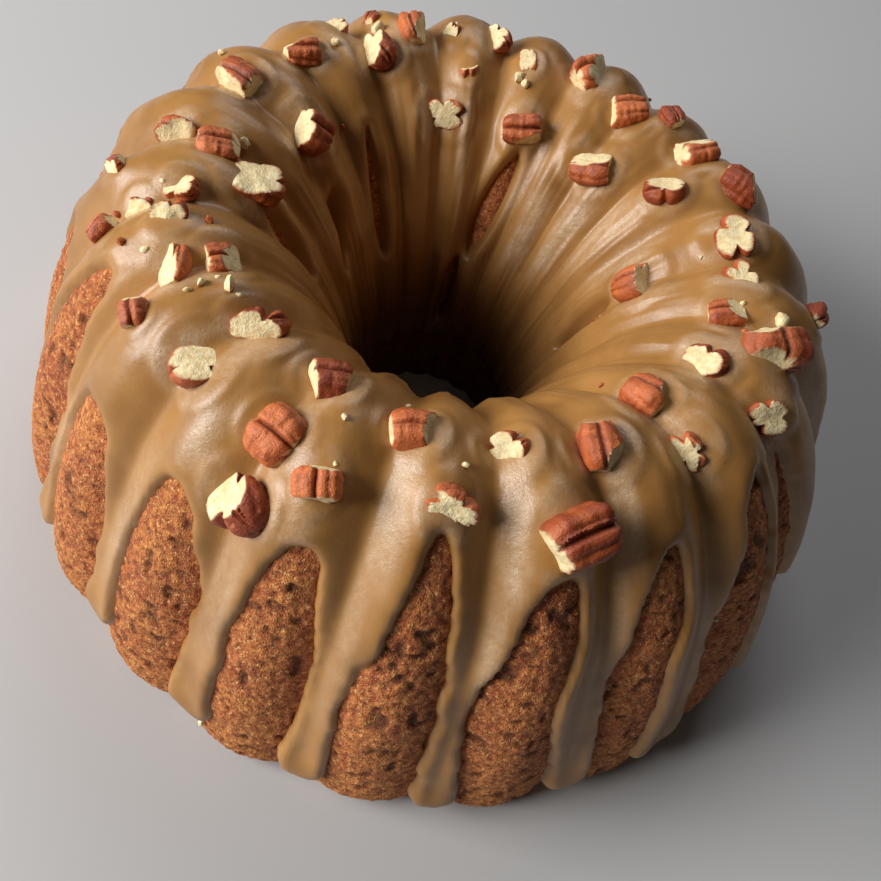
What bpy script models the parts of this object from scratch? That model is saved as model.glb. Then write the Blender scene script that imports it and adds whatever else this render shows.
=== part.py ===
"""A fluted ring cake with a poured caramel icing and broken pecans on its crown.

The cake stands on z = 0 with its axis on Z, and -Y is its front.  Every surface follows one turned
profile.  A place on it is an arc, the length along the profile from the crest (positive towards the
outer base, negative into the hole), and an azimuth, counted in flutes.
"""

import math

import bmesh
import bpy
import numpy as np
from mathutils import Vector
from mathutils.bvhtree import BVHTree

# Driving dimensions, in metres.
OUTER_RADIUS = 0.125        # widest radius, just above the base
BASE_RADIUS = 0.1175        # radius of the flat underside
WIDEST_Z = 0.005            # height of the widest radius
CREST_RADIUS = 0.0752       # radius of the ring's highest line
HEIGHT = 0.103              # height of that line above the table
HOLE_RADIUS = 0.0245        # radius of the hole at the base
SHOULDER_POWERS = (1.00, 1.24)   # fullness of the outer side, across and upwards
FUNNEL_POWERS = (0.96, 1.17)     # the same for the side towards the hole
OVAL = 0.018                # how much longer, as a share, the outer side stands on one diagonal
OVAL_AZIMUTH = math.radians(135.0)
OVAL_ARC = 0.05             # arc at which the outer side has its whole oval form

# The flutes.
FLUTES = 21
FIRST_VALLEY = math.radians(287.0)     # azimuth of valley 0, at the front
FLUTE_DEPTHS = (                       # arc, depth of the valleys below the ridges
    (-0.127, 0.0012), (-0.090, 0.0024), (-0.040, 0.0042), (0.0, 0.0060),
    (0.030, 0.0080), (0.070, 0.0078), (0.110, 0.0056), (0.136, 0.0036),
)
RIDGE_POWER = 0.9                      # 1 is a sine wave; less makes the ridges rounder
FOOT_ARC = 0.112                       # past this arc the valleys are cut level
FOOT_BLEND = 0.012                     # length over which the cut turns level
UNEVENNESS = 0.0006                    # how far one ridge may stand off the next
FULL_DEPTH = 0.008                     # flute depth at which that holds

# The icing.
ICING_GAP = 0.00035                    # clearance between the icing and the crumb
ICING_ON_RIDGE = 0.0018
ICING_IN_VALLEY = 0.0032
DRIP_BULB = 0.0016                     # extra thickness at a drip's end
ICING_POWER = 0.8                      # how soon the icing thins away from a valley
INNER_EDGE_WAVE = 0.006                # how much higher in the hole the icing ends in the valleys
LEAST_DRIP = 0.006                     # shortest drip below a panel's top
DRIP_SAG = 0.003                       # how much lower a drip's middle hangs than its sides
DRIP_HALF_WIDTH = 0.15                 # of a flute's width
PANEL_DROP = 0.030                     # how much lower a bare panel's sides begin than its top
PANEL_LEAN = 0.60                      # place of a panel's top across its flute
PANEL_POWER = 2.6                      # how flat the arch over a bare panel is
# Arc of each bare panel's top and of each drip's end in millimetres, for the flutes and the
# valleys counted anticlockwise from valley 0.
PANEL_TOPS = (26, 24, 24, 32, 48, 56, 60, 52, 58, 50, 46, 40, 30, 26, 34, 42, 25, 38, 35, 30, 16)
DRIP_ENDS = (117, 115, 114, 104, 96, 74, 88, 104, 70, 92, 80, 108, 76, 98, 86, 60, 72, 84, 101, 106, 114)

# Rows of the grid: fixed arcs on the hole's side, shares of the way elsewhere.
HOLE_ROWS = (-0.078, -0.044, -0.020)        # the first is where the icing ends
CROWN_ROWS = (0.0, 0.36, 0.7, 1.0)          # from the crest to the panel's top
PANEL_ROWS = (0.33, 0.66, 1.0)              # from there to the drip's end
FOOT_ROWS = (0.5, 1.0)                      # from there to the corner above the base
CORNER_RUN = 0.008                          # arc from that corner to the base
COLUMNS = (0.0, DRIP_HALF_WIDTH, 0.38, 0.62, 1.0 - DRIP_HALF_WIDTH)

# Pecans: azimuth, radius (mm), turn away from the outward direction, length (mm) and kind.
# They are listed round the crown from the back left.
PECAN_GAP = 0.0003                     # clearance between a piece and the icing
PECAN_SINK = 0.0025                    # how far below its seat an underside may reach
PECAN_LEAST = 0.0005                   # least thickness over the seat
PECANS = (
    (166, 77, 173, 13, "chunk"), (149, 74, 62, 11, "half"), (132, 69, 22, 13, "chunk"),
    (138, 80, 93, 9, "slice"), (128, 83, 108, 6, "bit"), (121, 74, 0, 11, "chunk"),
    (112, 75, 137, 8, "slice"), (102, 76, 48, 12, "cloud"), (108, 63, 163, 7, "bit"),
    (93, 69, 12, 9, "slice"), (115, 53, 90, 12, "cloud"), (88, 53, 109, 13, "half"),
    (77, 73, 142, 13, "chunk"), (65, 69, 140, 13, "half"), (56, 75, 70, 8, "bit"),
    (46, 74, 171, 13, "chunk"), (61, 53, 119, 13, "chunk"), (39, 60, 154, 12, "chunk"),
    (34, 79, 137, 13, "half"), (19, 70, 85, 14, "cloud"), (7, 70, 108, 12, "cloud"),
    (357, 68, 20, 11, "half"), (352, 81, 38, 17, "half"), (14, 49, 154, 15, "half"),
    (341, 68, 23, 12, "cloud"), (323, 64, 4, 13, "half"), (322, 81, 179, 10, "cloud"),
    (306, 73, 172, 13, "half"), (289, 71, 99, 10, "cloud"), (272, 71, 113, 12, "half"),
    (254, 68, 134, 11, "chunk"), (253, 85, 133, 12, "half"), (262, 89, 115, 11, "chunk"),
    (253, 98, 107, 14, "chunk"), (280, 86, 64, 12, "cloud"), (298, 90, 107, 17, "half"),
    (340, 88, 52, 12, "cloud"), (8, 94, 59, 9, "bit"), (192, 60, 13, 14, "chunk"),
    (186, 70, 39, 10, "chunk"), (184, 82, 160, 10, "chunk"), (164, 57, 29, 13, "chunk"),
    (193, 92, 10, 7, "bit"), (199, 76, 168, 9, "chunk"), (202, 87, 141, 8, "cloud"),
    (208, 78, 8, 10, "slice"), (204, 94, 28, 8, "bit"), (218, 80, 81, 11, "slice"),
    (218, 68, 0, 10, "chunk"), (223, 90, 70, 8, "bit"), (237, 70, 168, 14, "half"),
    (236, 85, 166, 13, "chunk"), (132, 105, 40, 11, "half"), (106, 106, 120, 10, "chunk"),
    (82, 105, 15, 11, "cloud"), (60, 106, 75, 10, "chunk"),
)
# Of each kind: width and height as shares of the length, heights across the piece, heights and
# widths along it.
PECAN_KINDS = {
    "half": (0.72, 0.40, (0.40, 1.0, 0.76, 1.0, 0.40), (0.90, 1.0, 0.96, 0.55), (0.86, 1.0, 0.92, 0.50)),
    "chunk": (0.82, 0.46, (0.62, 1.0, 0.88, 0.66), (0.80, 1.0, 0.90, 0.72), (0.86, 1.0, 0.96, 0.80)),
    "slice": (0.62, 0.34, (0.70, 1.0, 0.64), (0.80, 1.0, 0.74), (0.76, 1.0, 0.70)),
    "cloud": (0.80, 0.40, (0.56, 1.0, 0.74, 0.70), (0.70, 1.0, 0.78, 0.80), (0.74, 1.0, 0.72, 0.90)),
    "bit": (0.78, 0.46, (0.66, 1.0, 0.64), (0.80, 1.0, 0.66), (0.82, 1.0, 0.66)),
}
PECAN_ROUGHNESS = 0.12                 # how far the broken edges wander, as a share of the size
PROBE_ABOVE = 0.02                     # the icing under a piece is looked for from this high
PROBE_REACH = 0.05                     # and over this length

CRUST = ((0.27, 0.10, 0.035, 1.0), 0.85)
CARAMEL = ((0.36, 0.19, 0.066, 1.0), 0.32)
PECAN_SKIN = ((0.33, 0.115, 0.040, 1.0), 0.50)
PECAN_FLESH = ((0.80, 0.66, 0.42, 1.0), 0.60)


def clear_scene():
    for old in list(bpy.data.objects):
        bpy.data.objects.remove(old, do_unlink=True)


def material(name, finish):
    colour, roughness = finish
    made = bpy.data.materials.new(name)
    made.use_nodes = True
    shader = made.node_tree.nodes["Principled BSDF"]
    shader.inputs["Base Color"].default_value = colour
    shader.inputs["Roughness"].default_value = roughness
    made.diffuse_color = colour
    return made


def turned_profile(samples=400):
    """Arc, radius and height along the profile: two quarter curves that meet at the crest."""
    angle = np.linspace(0.0, math.pi / 2, samples)
    across, up = FUNNEL_POWERS
    funnel_r = CREST_RADIUS - (CREST_RADIUS - HOLE_RADIUS) * np.cos(angle) ** across
    funnel_z = HEIGHT * np.sin(angle) ** up
    across, up = SHOULDER_POWERS
    outer_r = CREST_RADIUS + (OUTER_RADIUS - CREST_RADIUS) * np.cos(angle[::-1]) ** across
    outer_z = WIDEST_Z + (HEIGHT - WIDEST_Z) * np.sin(angle[::-1]) ** up
    corner = np.linspace(0.0, math.pi / 2, 24)[1:]
    corner_r = BASE_RADIUS + (OUTER_RADIUS - BASE_RADIUS) * np.cos(corner)
    corner_z = WIDEST_Z * (1.0 - np.sin(corner))
    radius = np.concatenate([funnel_r, outer_r[1:], corner_r])
    height = np.concatenate([funnel_z, outer_z[1:], corner_z])
    arc = np.concatenate([[0.0], np.cumsum(np.hypot(np.diff(radius), np.diff(height)))])
    return arc - arc[samples - 1], radius, height


ARC, RADIUS, RISE = turned_profile()
FIRST_ARC, LAST_ARC = ARC[0], ARC[-1]


def at_arc(arc):
    """Radius, height and outward normal of the profile at an arc."""
    step = 0.0005
    radius, height = np.interp(arc, ARC, RADIUS), np.interp(arc, ARC, RISE)
    before, after = np.maximum(arc - step, FIRST_ARC), np.minimum(arc + step, LAST_ARC)
    run = np.interp(after, ARC, RADIUS) - np.interp(before, ARC, RADIUS)
    rise = np.interp(after, ARC, RISE) - np.interp(before, ARC, RISE)
    length = np.hypot(run, rise)
    return radius, height, -rise / length, run / length


def ridge_heights():
    """How far each flute's ridge stands off the even profile, the same on every run."""
    return np.random.default_rng(4).uniform(-UNEVENNESS, UNEVENNESS, FLUTES)


RIDGE_HEIGHTS = ridge_heights()


def fluted_point(flutes, arc, offset=0.0):
    """A point on the cake at so many flutes round from valley 0, moved out by the offset.

    Across one flute the surface is half a sine wave: round ridges that meet in sharp valleys.
    Near the base the valleys are cut straight towards the axis."""
    flutes, arc = np.asarray(flutes, float), np.asarray(arc, float)
    radius, height, out, up = at_arc(arc)
    level = np.clip((arc - FOOT_ARC) / FOOT_BLEND, 0.0, 1.0)
    out, up = out * (1.0 - level) + level, up * (1.0 - level)
    across = np.mod(flutes, 1.0)
    ridge = np.sin(math.pi * across) ** RIDGE_POWER
    depth = np.interp(arc, *zip(*FLUTE_DEPTHS))
    lift = RIDGE_HEIGHTS[np.floor(flutes).astype(int) % FLUTES] * ridge
    move = depth * (ridge - 1.0) + lift * depth / FULL_DEPTH + offset
    azimuth = FIRST_VALLEY + 2.0 * math.pi * flutes / FLUTES
    oval = OVAL * np.clip(arc / OVAL_ARC, 0.0, 1.0) * np.cos(2.0 * (azimuth - OVAL_AZIMUTH))
    radius = (radius + out * move) * (1.0 + oval)
    return np.stack([radius * np.cos(azimuth), radius * np.sin(azimuth), height + up * move], -1)


def grid_columns():
    """Places round the cake in flutes: a valley, its drip's two sides and the ridge between."""
    return (np.arange(FLUTES)[:, None] + np.array(COLUMNS)[None, :]).ravel()


def panel_edge(flutes):
    """Arc of the icing's edge at each column: an arch over each bare panel."""
    flute = np.floor(flutes).astype(int) % FLUTES
    across = np.mod(flutes, 1.0)
    tops = np.array(PANEL_TOPS) * 0.001
    reach = np.where(across < PANEL_LEAN, (PANEL_LEAN - across) / PANEL_LEAN,
                     (across - PANEL_LEAN) / (1.0 - PANEL_LEAN))
    edge = tops[flute] + PANEL_DROP * reach ** PANEL_POWER
    side = tops + PANEL_DROP
    shared = (side + np.roll(side, 1)) / 2
    near = np.clip(1.0 - np.minimum(across, 1.0 - across) / (2 * DRIP_HALF_WIDTH), 0.0, 1.0)
    nearest = np.round(flutes).astype(int) % FLUTES
    return edge * (1.0 - near) + shared[nearest] * near


def drip_end(flutes):
    """Arc of the drips' ends, carried across each flute from one valley to the next."""
    ends = np.array(DRIP_ENDS) * 0.001
    flute = np.floor(flutes).astype(int) % FLUTES
    across = np.mod(flutes, 1.0)
    sagging = DRIP_SAG * np.clip(np.minimum(across, 1.0 - across) / DRIP_HALF_WIDTH, 0.0, 1.0)
    return ends[flute] * (1.0 - across) + ends[(flute + 1) % FLUTES] * across - sagging


def inner_edge(flutes):
    """Arc at which the icing ends in the hole, a little lower on each ridge."""
    return HOLE_ROWS[0] + INNER_EDGE_WAVE * np.cos(2.0 * math.pi * np.mod(flutes, 1.0))


def grid_arcs(flutes):
    """The arc of every row at every column, from the hole's base to the outer base."""
    edge, end = panel_edge(flutes), drip_end(flutes)
    edge = np.minimum(edge, end - LEAST_DRIP)
    rows = [np.full_like(flutes, FIRST_ARC), inner_edge(flutes)]
    rows += [np.full_like(flutes, arc) for arc in HOLE_ROWS[1:]]
    rows += [edge * share for share in CROWN_ROWS]
    rows += [edge + (end - edge) * share for share in PANEL_ROWS]
    corner = LAST_ARC - CORNER_RUN
    rows += [end + (corner - end) * share for share in FOOT_ROWS]
    rows += [np.full_like(flutes, LAST_ARC)]
    return np.array(rows)


def closed_mesh(name, vertices, faces, finish):
    mesh = bpy.data.meshes.new(name)
    mesh.from_pydata([tuple(map(float, point)) for point in vertices], [], faces)
    shell = bmesh.new()
    shell.from_mesh(mesh)
    loose = [point for point in shell.verts if not point.link_faces]
    bmesh.ops.delete(shell, geom=loose, context="VERTS")
    bmesh.ops.recalc_face_normals(shell, faces=shell.faces)
    bmesh.ops.triangulate(shell, faces=shell.faces)
    shell.to_mesh(mesh)
    shell.free()
    mesh.shade_smooth()
    mesh.set_sharp_from_angle(angle=math.radians(50))
    mesh.materials.append(material(name, finish))
    made = bpy.data.objects.new(name, mesh)
    bpy.context.scene.collection.objects.link(made)
    return made


def quad(row, column, columns, start=0):
    """The four corners of one cell of a grid that closes on itself round the axis."""
    beside = (column + 1) % columns
    low, high = start + row * columns, start + (row + 1) * columns
    return (low + column, low + beside, high + beside, high + column)


def make_cake(flutes, arcs):
    rows, columns = arcs.shape
    points = fluted_point(np.broadcast_to(flutes, arcs.shape), arcs)
    points[0, :, 2] = 0.0
    points[-1, :, 2] = 0.0
    faces = [quad(row, column, columns) for row in range(rows - 1) for column in range(columns)]
    last = (rows - 1) * columns
    for column in range(columns):
        beside = (column + 1) % columns
        faces.append((last + column, last + beside, beside, column))
    return closed_mesh("cake", points.reshape(-1, 3), faces, CRUST)


def icing_thickness(flutes, arcs):
    """Thin over the ridges, thick in the valleys, thicker again at the foot of each drip."""
    across = np.mod(flutes, 1.0)
    ridge = np.sin(math.pi * across)
    thickness = ICING_IN_VALLEY + (ICING_ON_RIDGE - ICING_IN_VALLEY) * ridge ** ICING_POWER
    thickness = np.broadcast_to(thickness, arcs.shape).copy()
    edge_row = len(HOLE_ROWS) + len(CROWN_ROWS)
    end_row = edge_row + len(PANEL_ROWS)
    thickness[end_row - 1:end_row + 1] += DRIP_BULB * np.clip(1.0 - 2.0 * ridge, 0.0, 1.0)
    return thickness, edge_row, end_row


def make_icing(flutes, arcs):
    """A closed shell over the crown with a drip down every valley."""
    first_row = 1
    thickness, edge_row, end_row = icing_thickness(flutes, arcs)
    rows, columns = arcs.shape
    round_the_cake = np.broadcast_to(flutes, arcs.shape)
    under = fluted_point(round_the_cake, arcs, ICING_GAP)
    over = fluted_point(round_the_cake, arcs, ICING_GAP + thickness)
    per_flute = len(COLUMNS)
    iced = np.zeros((rows - 1, columns), bool)
    iced[first_row:edge_row] = True
    for column in range(columns):
        if column % per_flute in (0, per_flute - 1):
            iced[edge_row:end_row, column] = True
    above = rows * columns
    faces = []
    for row, column in zip(*np.nonzero(iced)):
        row, column = int(row), int(column)
        low = quad(row, column, columns)
        high = quad(row, column, columns, above)
        faces += [low[::-1], high]
        sides = (((row - 1, column), 0, 1), ((row, (column + 1) % columns), 1, 2),
                 ((row + 1, column), 2, 3), ((row, (column - 1) % columns), 3, 0))
        for (near_row, near_column), a, b in sides:
            if not iced[near_row, near_column]:
                faces.append((low[a], low[b], high[b], high[a]))
    points = np.concatenate([under.reshape(-1, 3), over.reshape(-1, 3)])
    return closed_mesh("icing", points, faces, CARAMEL)


def surface_frame(azimuth, radius):
    """A point on the crown's ridge line and the directions outwards, round and up from there."""
    crown = (ARC > -0.060) & (ARC < 0.060)
    arc = np.interp(radius, RADIUS[crown], ARC[crown])
    radius, height, out, up = (float(value) for value in at_arc(arc))
    round_x, round_y = math.cos(azimuth), math.sin(azimuth)
    place = Vector((radius * round_x, radius * round_y, height))
    normal = Vector((out * round_x, out * round_y, up))
    beside = Vector((-round_y, round_x, 0.0))
    return place, beside.cross(normal), beside, normal


def pecan_points(kind, length, draw):
    """Places and heights of one piece's grid: along it, across it and above its underside."""
    width, height, crosswise, lengthwise, waist = PECAN_KINDS[kind]
    along = np.linspace(-0.5, 0.5, len(lengthwise))[:, None] * length
    across = np.linspace(-0.5, 0.5, len(crosswise))[None, :] * length * width
    across = across * np.array(waist)[:, None]
    rise = length * height * np.array(lengthwise)[:, None] * np.array(crosswise)[None, :]
    wander = PECAN_ROUGHNESS * length / (len(lengthwise) - 1)
    along = along + draw.uniform(-wander, wander, rise.shape)
    across = across + draw.uniform(-wander, wander, rise.shape)
    return along, across, rise * draw.uniform(0.9, 1.1, rise.shape)


def make_pecan(number, spec, icing_surface, draw):
    """A broken piece whose underside follows the icing that it is stuck to."""
    azimuth, radius, turn, length, kind = spec
    place, outwards, beside, normal = surface_frame(math.radians(azimuth), radius * 0.001)
    turn = math.radians(turn)
    lengthwise = outwards * math.cos(turn) + beside * math.sin(turn)
    crosswise = normal.cross(lengthwise)
    along, across, rise = pecan_points(kind, length * 0.001, draw)
    stations, strips = rise.shape
    bottom, top, levels = [], [], []
    for x, y in zip(along.ravel(), across.ravel()):
        start = place + lengthwise * float(x) + crosswise * float(y) + normal * PROBE_ABOVE
        hit = icing_surface.ray_cast(start, -normal, PROBE_REACH)[0]
        levels.append((hit - place).dot(normal) if hit else math.nan)
    levels = np.array(levels)
    seat = np.nanmean(levels)
    levels = np.clip(np.where(np.isnan(levels), seat, levels), seat - PECAN_SINK, None)
    for x, y, z, level in zip(along.ravel(), across.ravel(), rise.ravel(), levels):
        foot = place + lengthwise * float(x) + crosswise * float(y)
        bottom.append(foot + normal * float(level + PECAN_GAP))
        top.append(foot + normal * float((max(level, seat) + seat) / 2 + z + PECAN_LEAST))
    faces = []
    above = stations * strips
    for i in range(stations - 1):
        for j in range(strips - 1):
            cell = (i * strips + j, i * strips + j + 1, (i + 1) * strips + j + 1, (i + 1) * strips + j)
            faces += [cell, tuple(corner + above for corner in reversed(cell))]
    rim = [j for j in range(strips)]
    rim += [i * strips + strips - 1 for i in range(1, stations)]
    rim += [(stations - 1) * strips + j for j in range(strips - 2, -1, -1)]
    rim += [i * strips for i in range(stations - 2, 0, -1)]
    for a, b in zip(rim, rim[1:] + rim[:1]):
        faces.append((a, b, b + above, a + above))
    points = np.array([tuple(point) for point in bottom + top])
    points = lift_clear(points, faces, normal, icing_surface)
    finish = PECAN_FLESH if kind in ("slice", "cloud") else PECAN_SKIN
    return closed_mesh(f"pecan_{number:02d}", points, faces, finish)


def lift_clear(points, faces, normal, icing_surface, step=0.00015, tries=40):
    """Raises a piece until it no longer cuts the icing, and then by the gap once more."""
    for _ in range(tries):
        piece = BVHTree.FromPolygons([tuple(point) for point in points], faces)
        if not piece.overlap(icing_surface):
            break
        points = points + np.array(normal) * step
    return points + np.array(normal) * PECAN_GAP


def main():
    clear_scene()
    flutes = grid_columns()
    arcs = grid_arcs(flutes)
    make_cake(flutes, arcs)
    icing = make_icing(flutes, arcs)
    shell = bmesh.new()
    shell.from_mesh(icing.data)
    icing_surface = BVHTree.FromBMesh(shell)
    shell.free()
    draw = np.random.default_rng(11)
    for number, spec in enumerate(PECANS, start=1):
        make_pecan(number, spec, icing_surface, draw)


main()
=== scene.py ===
"""The looks of a fluted ring cake with poured caramel icing and broken pecans.

Every surface follows one turned profile.  A place on it is an arc, the length along the profile
from the crest (positive towards the outer base, negative into the hole), and a number of flutes
round from valley 0.  Lengths are in metres, Z is up and -Y is the front.
"""

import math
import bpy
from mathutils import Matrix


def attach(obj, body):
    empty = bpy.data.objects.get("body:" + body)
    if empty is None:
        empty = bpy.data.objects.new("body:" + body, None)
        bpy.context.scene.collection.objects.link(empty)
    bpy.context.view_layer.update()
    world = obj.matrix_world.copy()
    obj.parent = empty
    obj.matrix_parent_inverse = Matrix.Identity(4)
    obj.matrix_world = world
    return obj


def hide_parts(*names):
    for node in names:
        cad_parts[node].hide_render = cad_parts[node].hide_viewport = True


bl_info = {
    "name": "Fluted Caramel Cake",
    "version": (1, 0, 0),
    "blender": (4, 5, 0),
    "location": "View3D > Sidebar > Cake",
    "description": "Builds a fluted ring cake with caramel icing and pecans over its solids",
    "category": "Add Mesh",
}

import bpy
import numpy as np
from mathutils import Matrix, Vector

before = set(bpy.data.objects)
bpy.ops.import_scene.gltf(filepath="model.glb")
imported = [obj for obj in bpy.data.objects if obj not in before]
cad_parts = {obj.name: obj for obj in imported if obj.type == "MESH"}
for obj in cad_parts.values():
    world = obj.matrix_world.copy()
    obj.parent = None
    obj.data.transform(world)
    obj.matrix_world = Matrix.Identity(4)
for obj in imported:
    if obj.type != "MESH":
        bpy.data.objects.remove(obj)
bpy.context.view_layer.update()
BODY = "root"
MM = 0.001

# The turned profile, with the same values as the solids.
OUTER_RADIUS = 0.125
BASE_RADIUS = 0.1175
WIDEST_Z = 0.005
CREST_RADIUS = 0.0752
HEIGHT = 0.103
HOLE_RADIUS = 0.0245
SHOULDER_POWERS = (1.00, 1.24)
FUNNEL_POWERS = (0.96, 1.17)
PROFILE_SAMPLES = 400       # points on each side, and on the outer foot
CORNER_SAMPLES = 24
SLOPE_STEP = 0.0005         # arc over which the profile's slope is taken
CROWN_HALF = 0.055          # arc either side of the crest on which pecans sit
OVAL = 0.018                # how much wider the cake is along one diagonal, from this arc on
OVAL_AZIMUTH = math.radians(135.0)
OVAL_ARC = 0.05
FLUTES = 21
FIRST_VALLEY = math.radians(287.0)
# Arc, and depth of the valleys there.
FLUTE_DEPTHS = (
    (-0.127, 0.0012), (-0.090, 0.0024), (-0.040, 0.0042), (0.0, 0.0060),
    (0.030, 0.0080), (0.070, 0.0078), (0.110, 0.0056), (0.136, 0.0036),
)
RIDGE_POWER = 0.9
FOOT_ARC = 0.112            # from this arc, over this run, the flutes turn to stand out level
FOOT_BLEND = 0.012
UNEVENNESS = 0.0006         # how far a ridge may stand above or below its usual height
RIDGE_SEED = 4
FULL_DEPTH = 0.008

# Bare crust between the drips, for each flute: arc of the panel's top (mm), place of the top across
# the flute, then the panel's left and right edges just below its top, half-way down and at the foot.
PANELS = np.array((
    (25, .60, .27, .82, .08, .67, .16, .88), (23, .56, .25, .72, .11, .54, .18, .58),
    (20, .60, .30, .74, .09, .62, .12, .62), (22, .16, .06, .28, .06, .34, .10, .60),
    (48, .55, .30, .78, .20, .84, .16, .88), (56, .50, .32, .72, .22, .80, .18, .86),
    (60, .52, .30, .76, .18, .84, .20, .84), (52, .45, .28, .72, .20, .82, .16, .88),
    (58, .58, .34, .80, .24, .86, .18, .84), (50, .50, .28, .74, .18, .80, .16, .86),
    (46, .60, .34, .80, .22, .84, .20, .84), (40, .55, .32, .78, .20, .86, .16, .88),
    (28, .68, .42, .84, .30, .90, .20, .88), (24, .66, .44, .84, .32, .90, .22, .88),
    (32, .62, .38, .82, .26, .90, .20, .88), (40, .60, .32, .82, .20, .90, .16, .92),
    (20, .66, .42, .82, .22, .93, .17, .90), (39, .54, .22, .82, .14, .92, .15, .94),
    (34, .47, .28, .84, .24, .95, .28, .93), (29, .64, .36, .84, .29, .96, .28, .89),
    (16, .58, .40, .80, .18, .88, .20, .87),
))
# Arc of each valley's drip end (mm).
DRIP_ENDS = np.array((
    117, 115, 114, 104, 96, 74, 88, 104, 70, 92, 80, 108, 76, 98, 86, 96, 116, 116, 108, 111, 114,
)) * MM
# Thin runs of icing and bare slits: place in flutes, first and last arc (mm), half width (mm), and
# how far it leans, in flutes.
STRANDS = ((2.06, 20, 90, 1.5, 0.02), (9.28, -74, -48, 1.2, -0.30))
SLITS = (
    (9.54, -66, -33, 3.6, -0.42), (12.58, -64, -27, 1.9, -0.10), (14.05, -60, -38, 1.8, -0.60),
    (15.75, -44, -20, 2.4, -0.28), (5.12, -66, -44, 2.1, 0.18), (10.20, -92, -70, 2.0, -0.20),
)
# Pale patches of painted sheen, where the icing reflects the light: place in flutes, arc (mm), half width
# in flutes, half length (mm), strength.
SHEEN_PATCHES = (
    (20.17, 14, .13, 18, 1.0), (20.10, 50, .08, 36, .45), (0.17, 14, .13, 18, 1.0),
    (0.12, 44, .07, 20, .6), (1.17, 12, .10, 15, .9), (1.10, 36, .06, 14, .5), (18.52, 21, .12, 7, .8),
    (19.52, 25, .12, 6, .7), (19.14, 52, .12, 28, .5), (18.16, 58, .13, 26, .5), (17.10, 60, .1, 24, .4),
    (2.1, 8, .08, 10, .6), (8.4, -52, .30, 13, 1.0), (7.5, -47, .30, 15, 1.0), (6.7, -38, .28, 14, .9),
    (5.9, -36, .24, 14, .8), (9.05, -40, .15, 12, .5), (10.5, -34, .12, 14, .6), (11.3, -24, .12, 12, .6),
    (4.6, -30, .2, 10, .5), (12.2, 8, .10, 12, .5), (14.1, 10, .10, 14, .6), (16.1, 14, .12, 14, .6),
    (4.1, 30, .12, 16, .5), (7.1, 36, .12, 18, .5), (10.1, 30, .12, 18, .5),
)

# The view from the front: angles in radians, the distance from the place it looks at, and the lens
# in millimetres.
CAMERA_TILT = 0.9713        # angle of the view below the horizon
CAMERA_ROLL = 0.3297
CAMERA_AWAY = 0.2846
CAMERA_AIM = (0.0085, -0.0279, 0.04)
LENS = 39.15

# One line for each pecan node, in their order: direction of its grain on its seat, how far the grain
# tilts up, then its broken face: clock angle as the cake is seen from its front (0 right, 90 up), how
# squarely it faces the front (0 from the side, 90 fully) and its depth as a share of the piece; the
# number of notches in the face, and the clock angle of the first.  Angles in degrees.
NUTS = (
    (159, 0, 225, 25, .50, 0, 0), (31, 0, 110, 20, .62, 0, 0), (154, 10, 160, 40, .20, 1, 100),
    (51, 0, 100, 62, .25, 0, 0), (56, 0, 30, 10, .85, 0, 0), (121, 0, 0, 25, .60, 0, 0),
    (69, 0, 170, 55, .15, 1, 60), (150, 10, 140, 50, .10, 2, 60), (91, 10, 100, 45, .15, 1, 270),
    (105, 0, 100, 66, .62, 0, 0), (25, 40, 262, 55, .15, 3, 95), (17, 0, 285, 5, .76, 0, 0),
    (39, 0, 0, 40, .35, 0, 0), (25, 0, 180, 18, .70, 0, 0), (126, 0, 90, 10, .85, 0, 0),
    (37, 0, 95, 22, .60, 0, 0), (0, 0, 105, 38, .42, 0, 0), (13, 0, 95, 38, .38, 1, 270),
    (171, 0, 0, 20, .66, 0, 0), (104, 30, 120, 74, .42, 3, 20), (115, 45, 100, 78, .42, 4, 35),
    (17, 0, 60, 40, .70, 0, 0), (112, 0, 90, 10, .74, 0, 0), (8, 0, 15, 45, .25, 1, 90),
    (4, 10, 175, 52, .28, 1, 60), (147, 20, 0, 12, .70, 0, 0), (141, 40, 230, 74, .38, 3, 0),
    (118, 25, 330, 20, .70, 0, 0), (28, 30, 190, 66, .25, 3, 50), (16, 0, 0, 25, .58, 0, 0),
    (16, 0, 185, 22, .62, 0, 0), (155, 0, 330, 0, .86, 0, 0), (107, 0, 268, 10, .78, 0, 0),
    (335, 20, 150, 40, .34, 2, 80), (164, 30, 262, 58, .28, 3, 30), (45, 0, 215, 18, .74, 0, 0),
    (32, 40, 10, 74, .30, 3, 110), (67, 0, 180, 10, .84, 0, 0), (25, 0, 60, 52, .24, 0, 0),
    (25, 0, 20, 15, .80, 0, 0), (164, 0, 285, 62, .20, 0, 0), (13, 0, 170, 44, .26, 0, 0),
    (23, 0, 215, 35, .30, 0, 0), (7, 0, 110, 50, .24, 1, 250), (163, 30, 240, 66, .10, 0, 0),
    (36, 30, 260, 64, .10, 2, 60), (52, 0, 40, 20, .80, 0, 0), (100, 0, 160, 45, .30, 0, 0),
    (38, 0, 20, 25, .60, 0, 0), (113, 0, 95, 10, .86, 0, 0), (45, 0, 262, 64, .20, 2, 60),
    (42, 0, 70, 55, .15, 1, 330), (172, 0, 140, 40, .30, 1, 60), (46, 0, 95, 45, .40, 0, 0),
    (97, 30, 60, 55, .10, 3, 20), (135, 0, 95, 35, .60, 0, 0),
)
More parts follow.
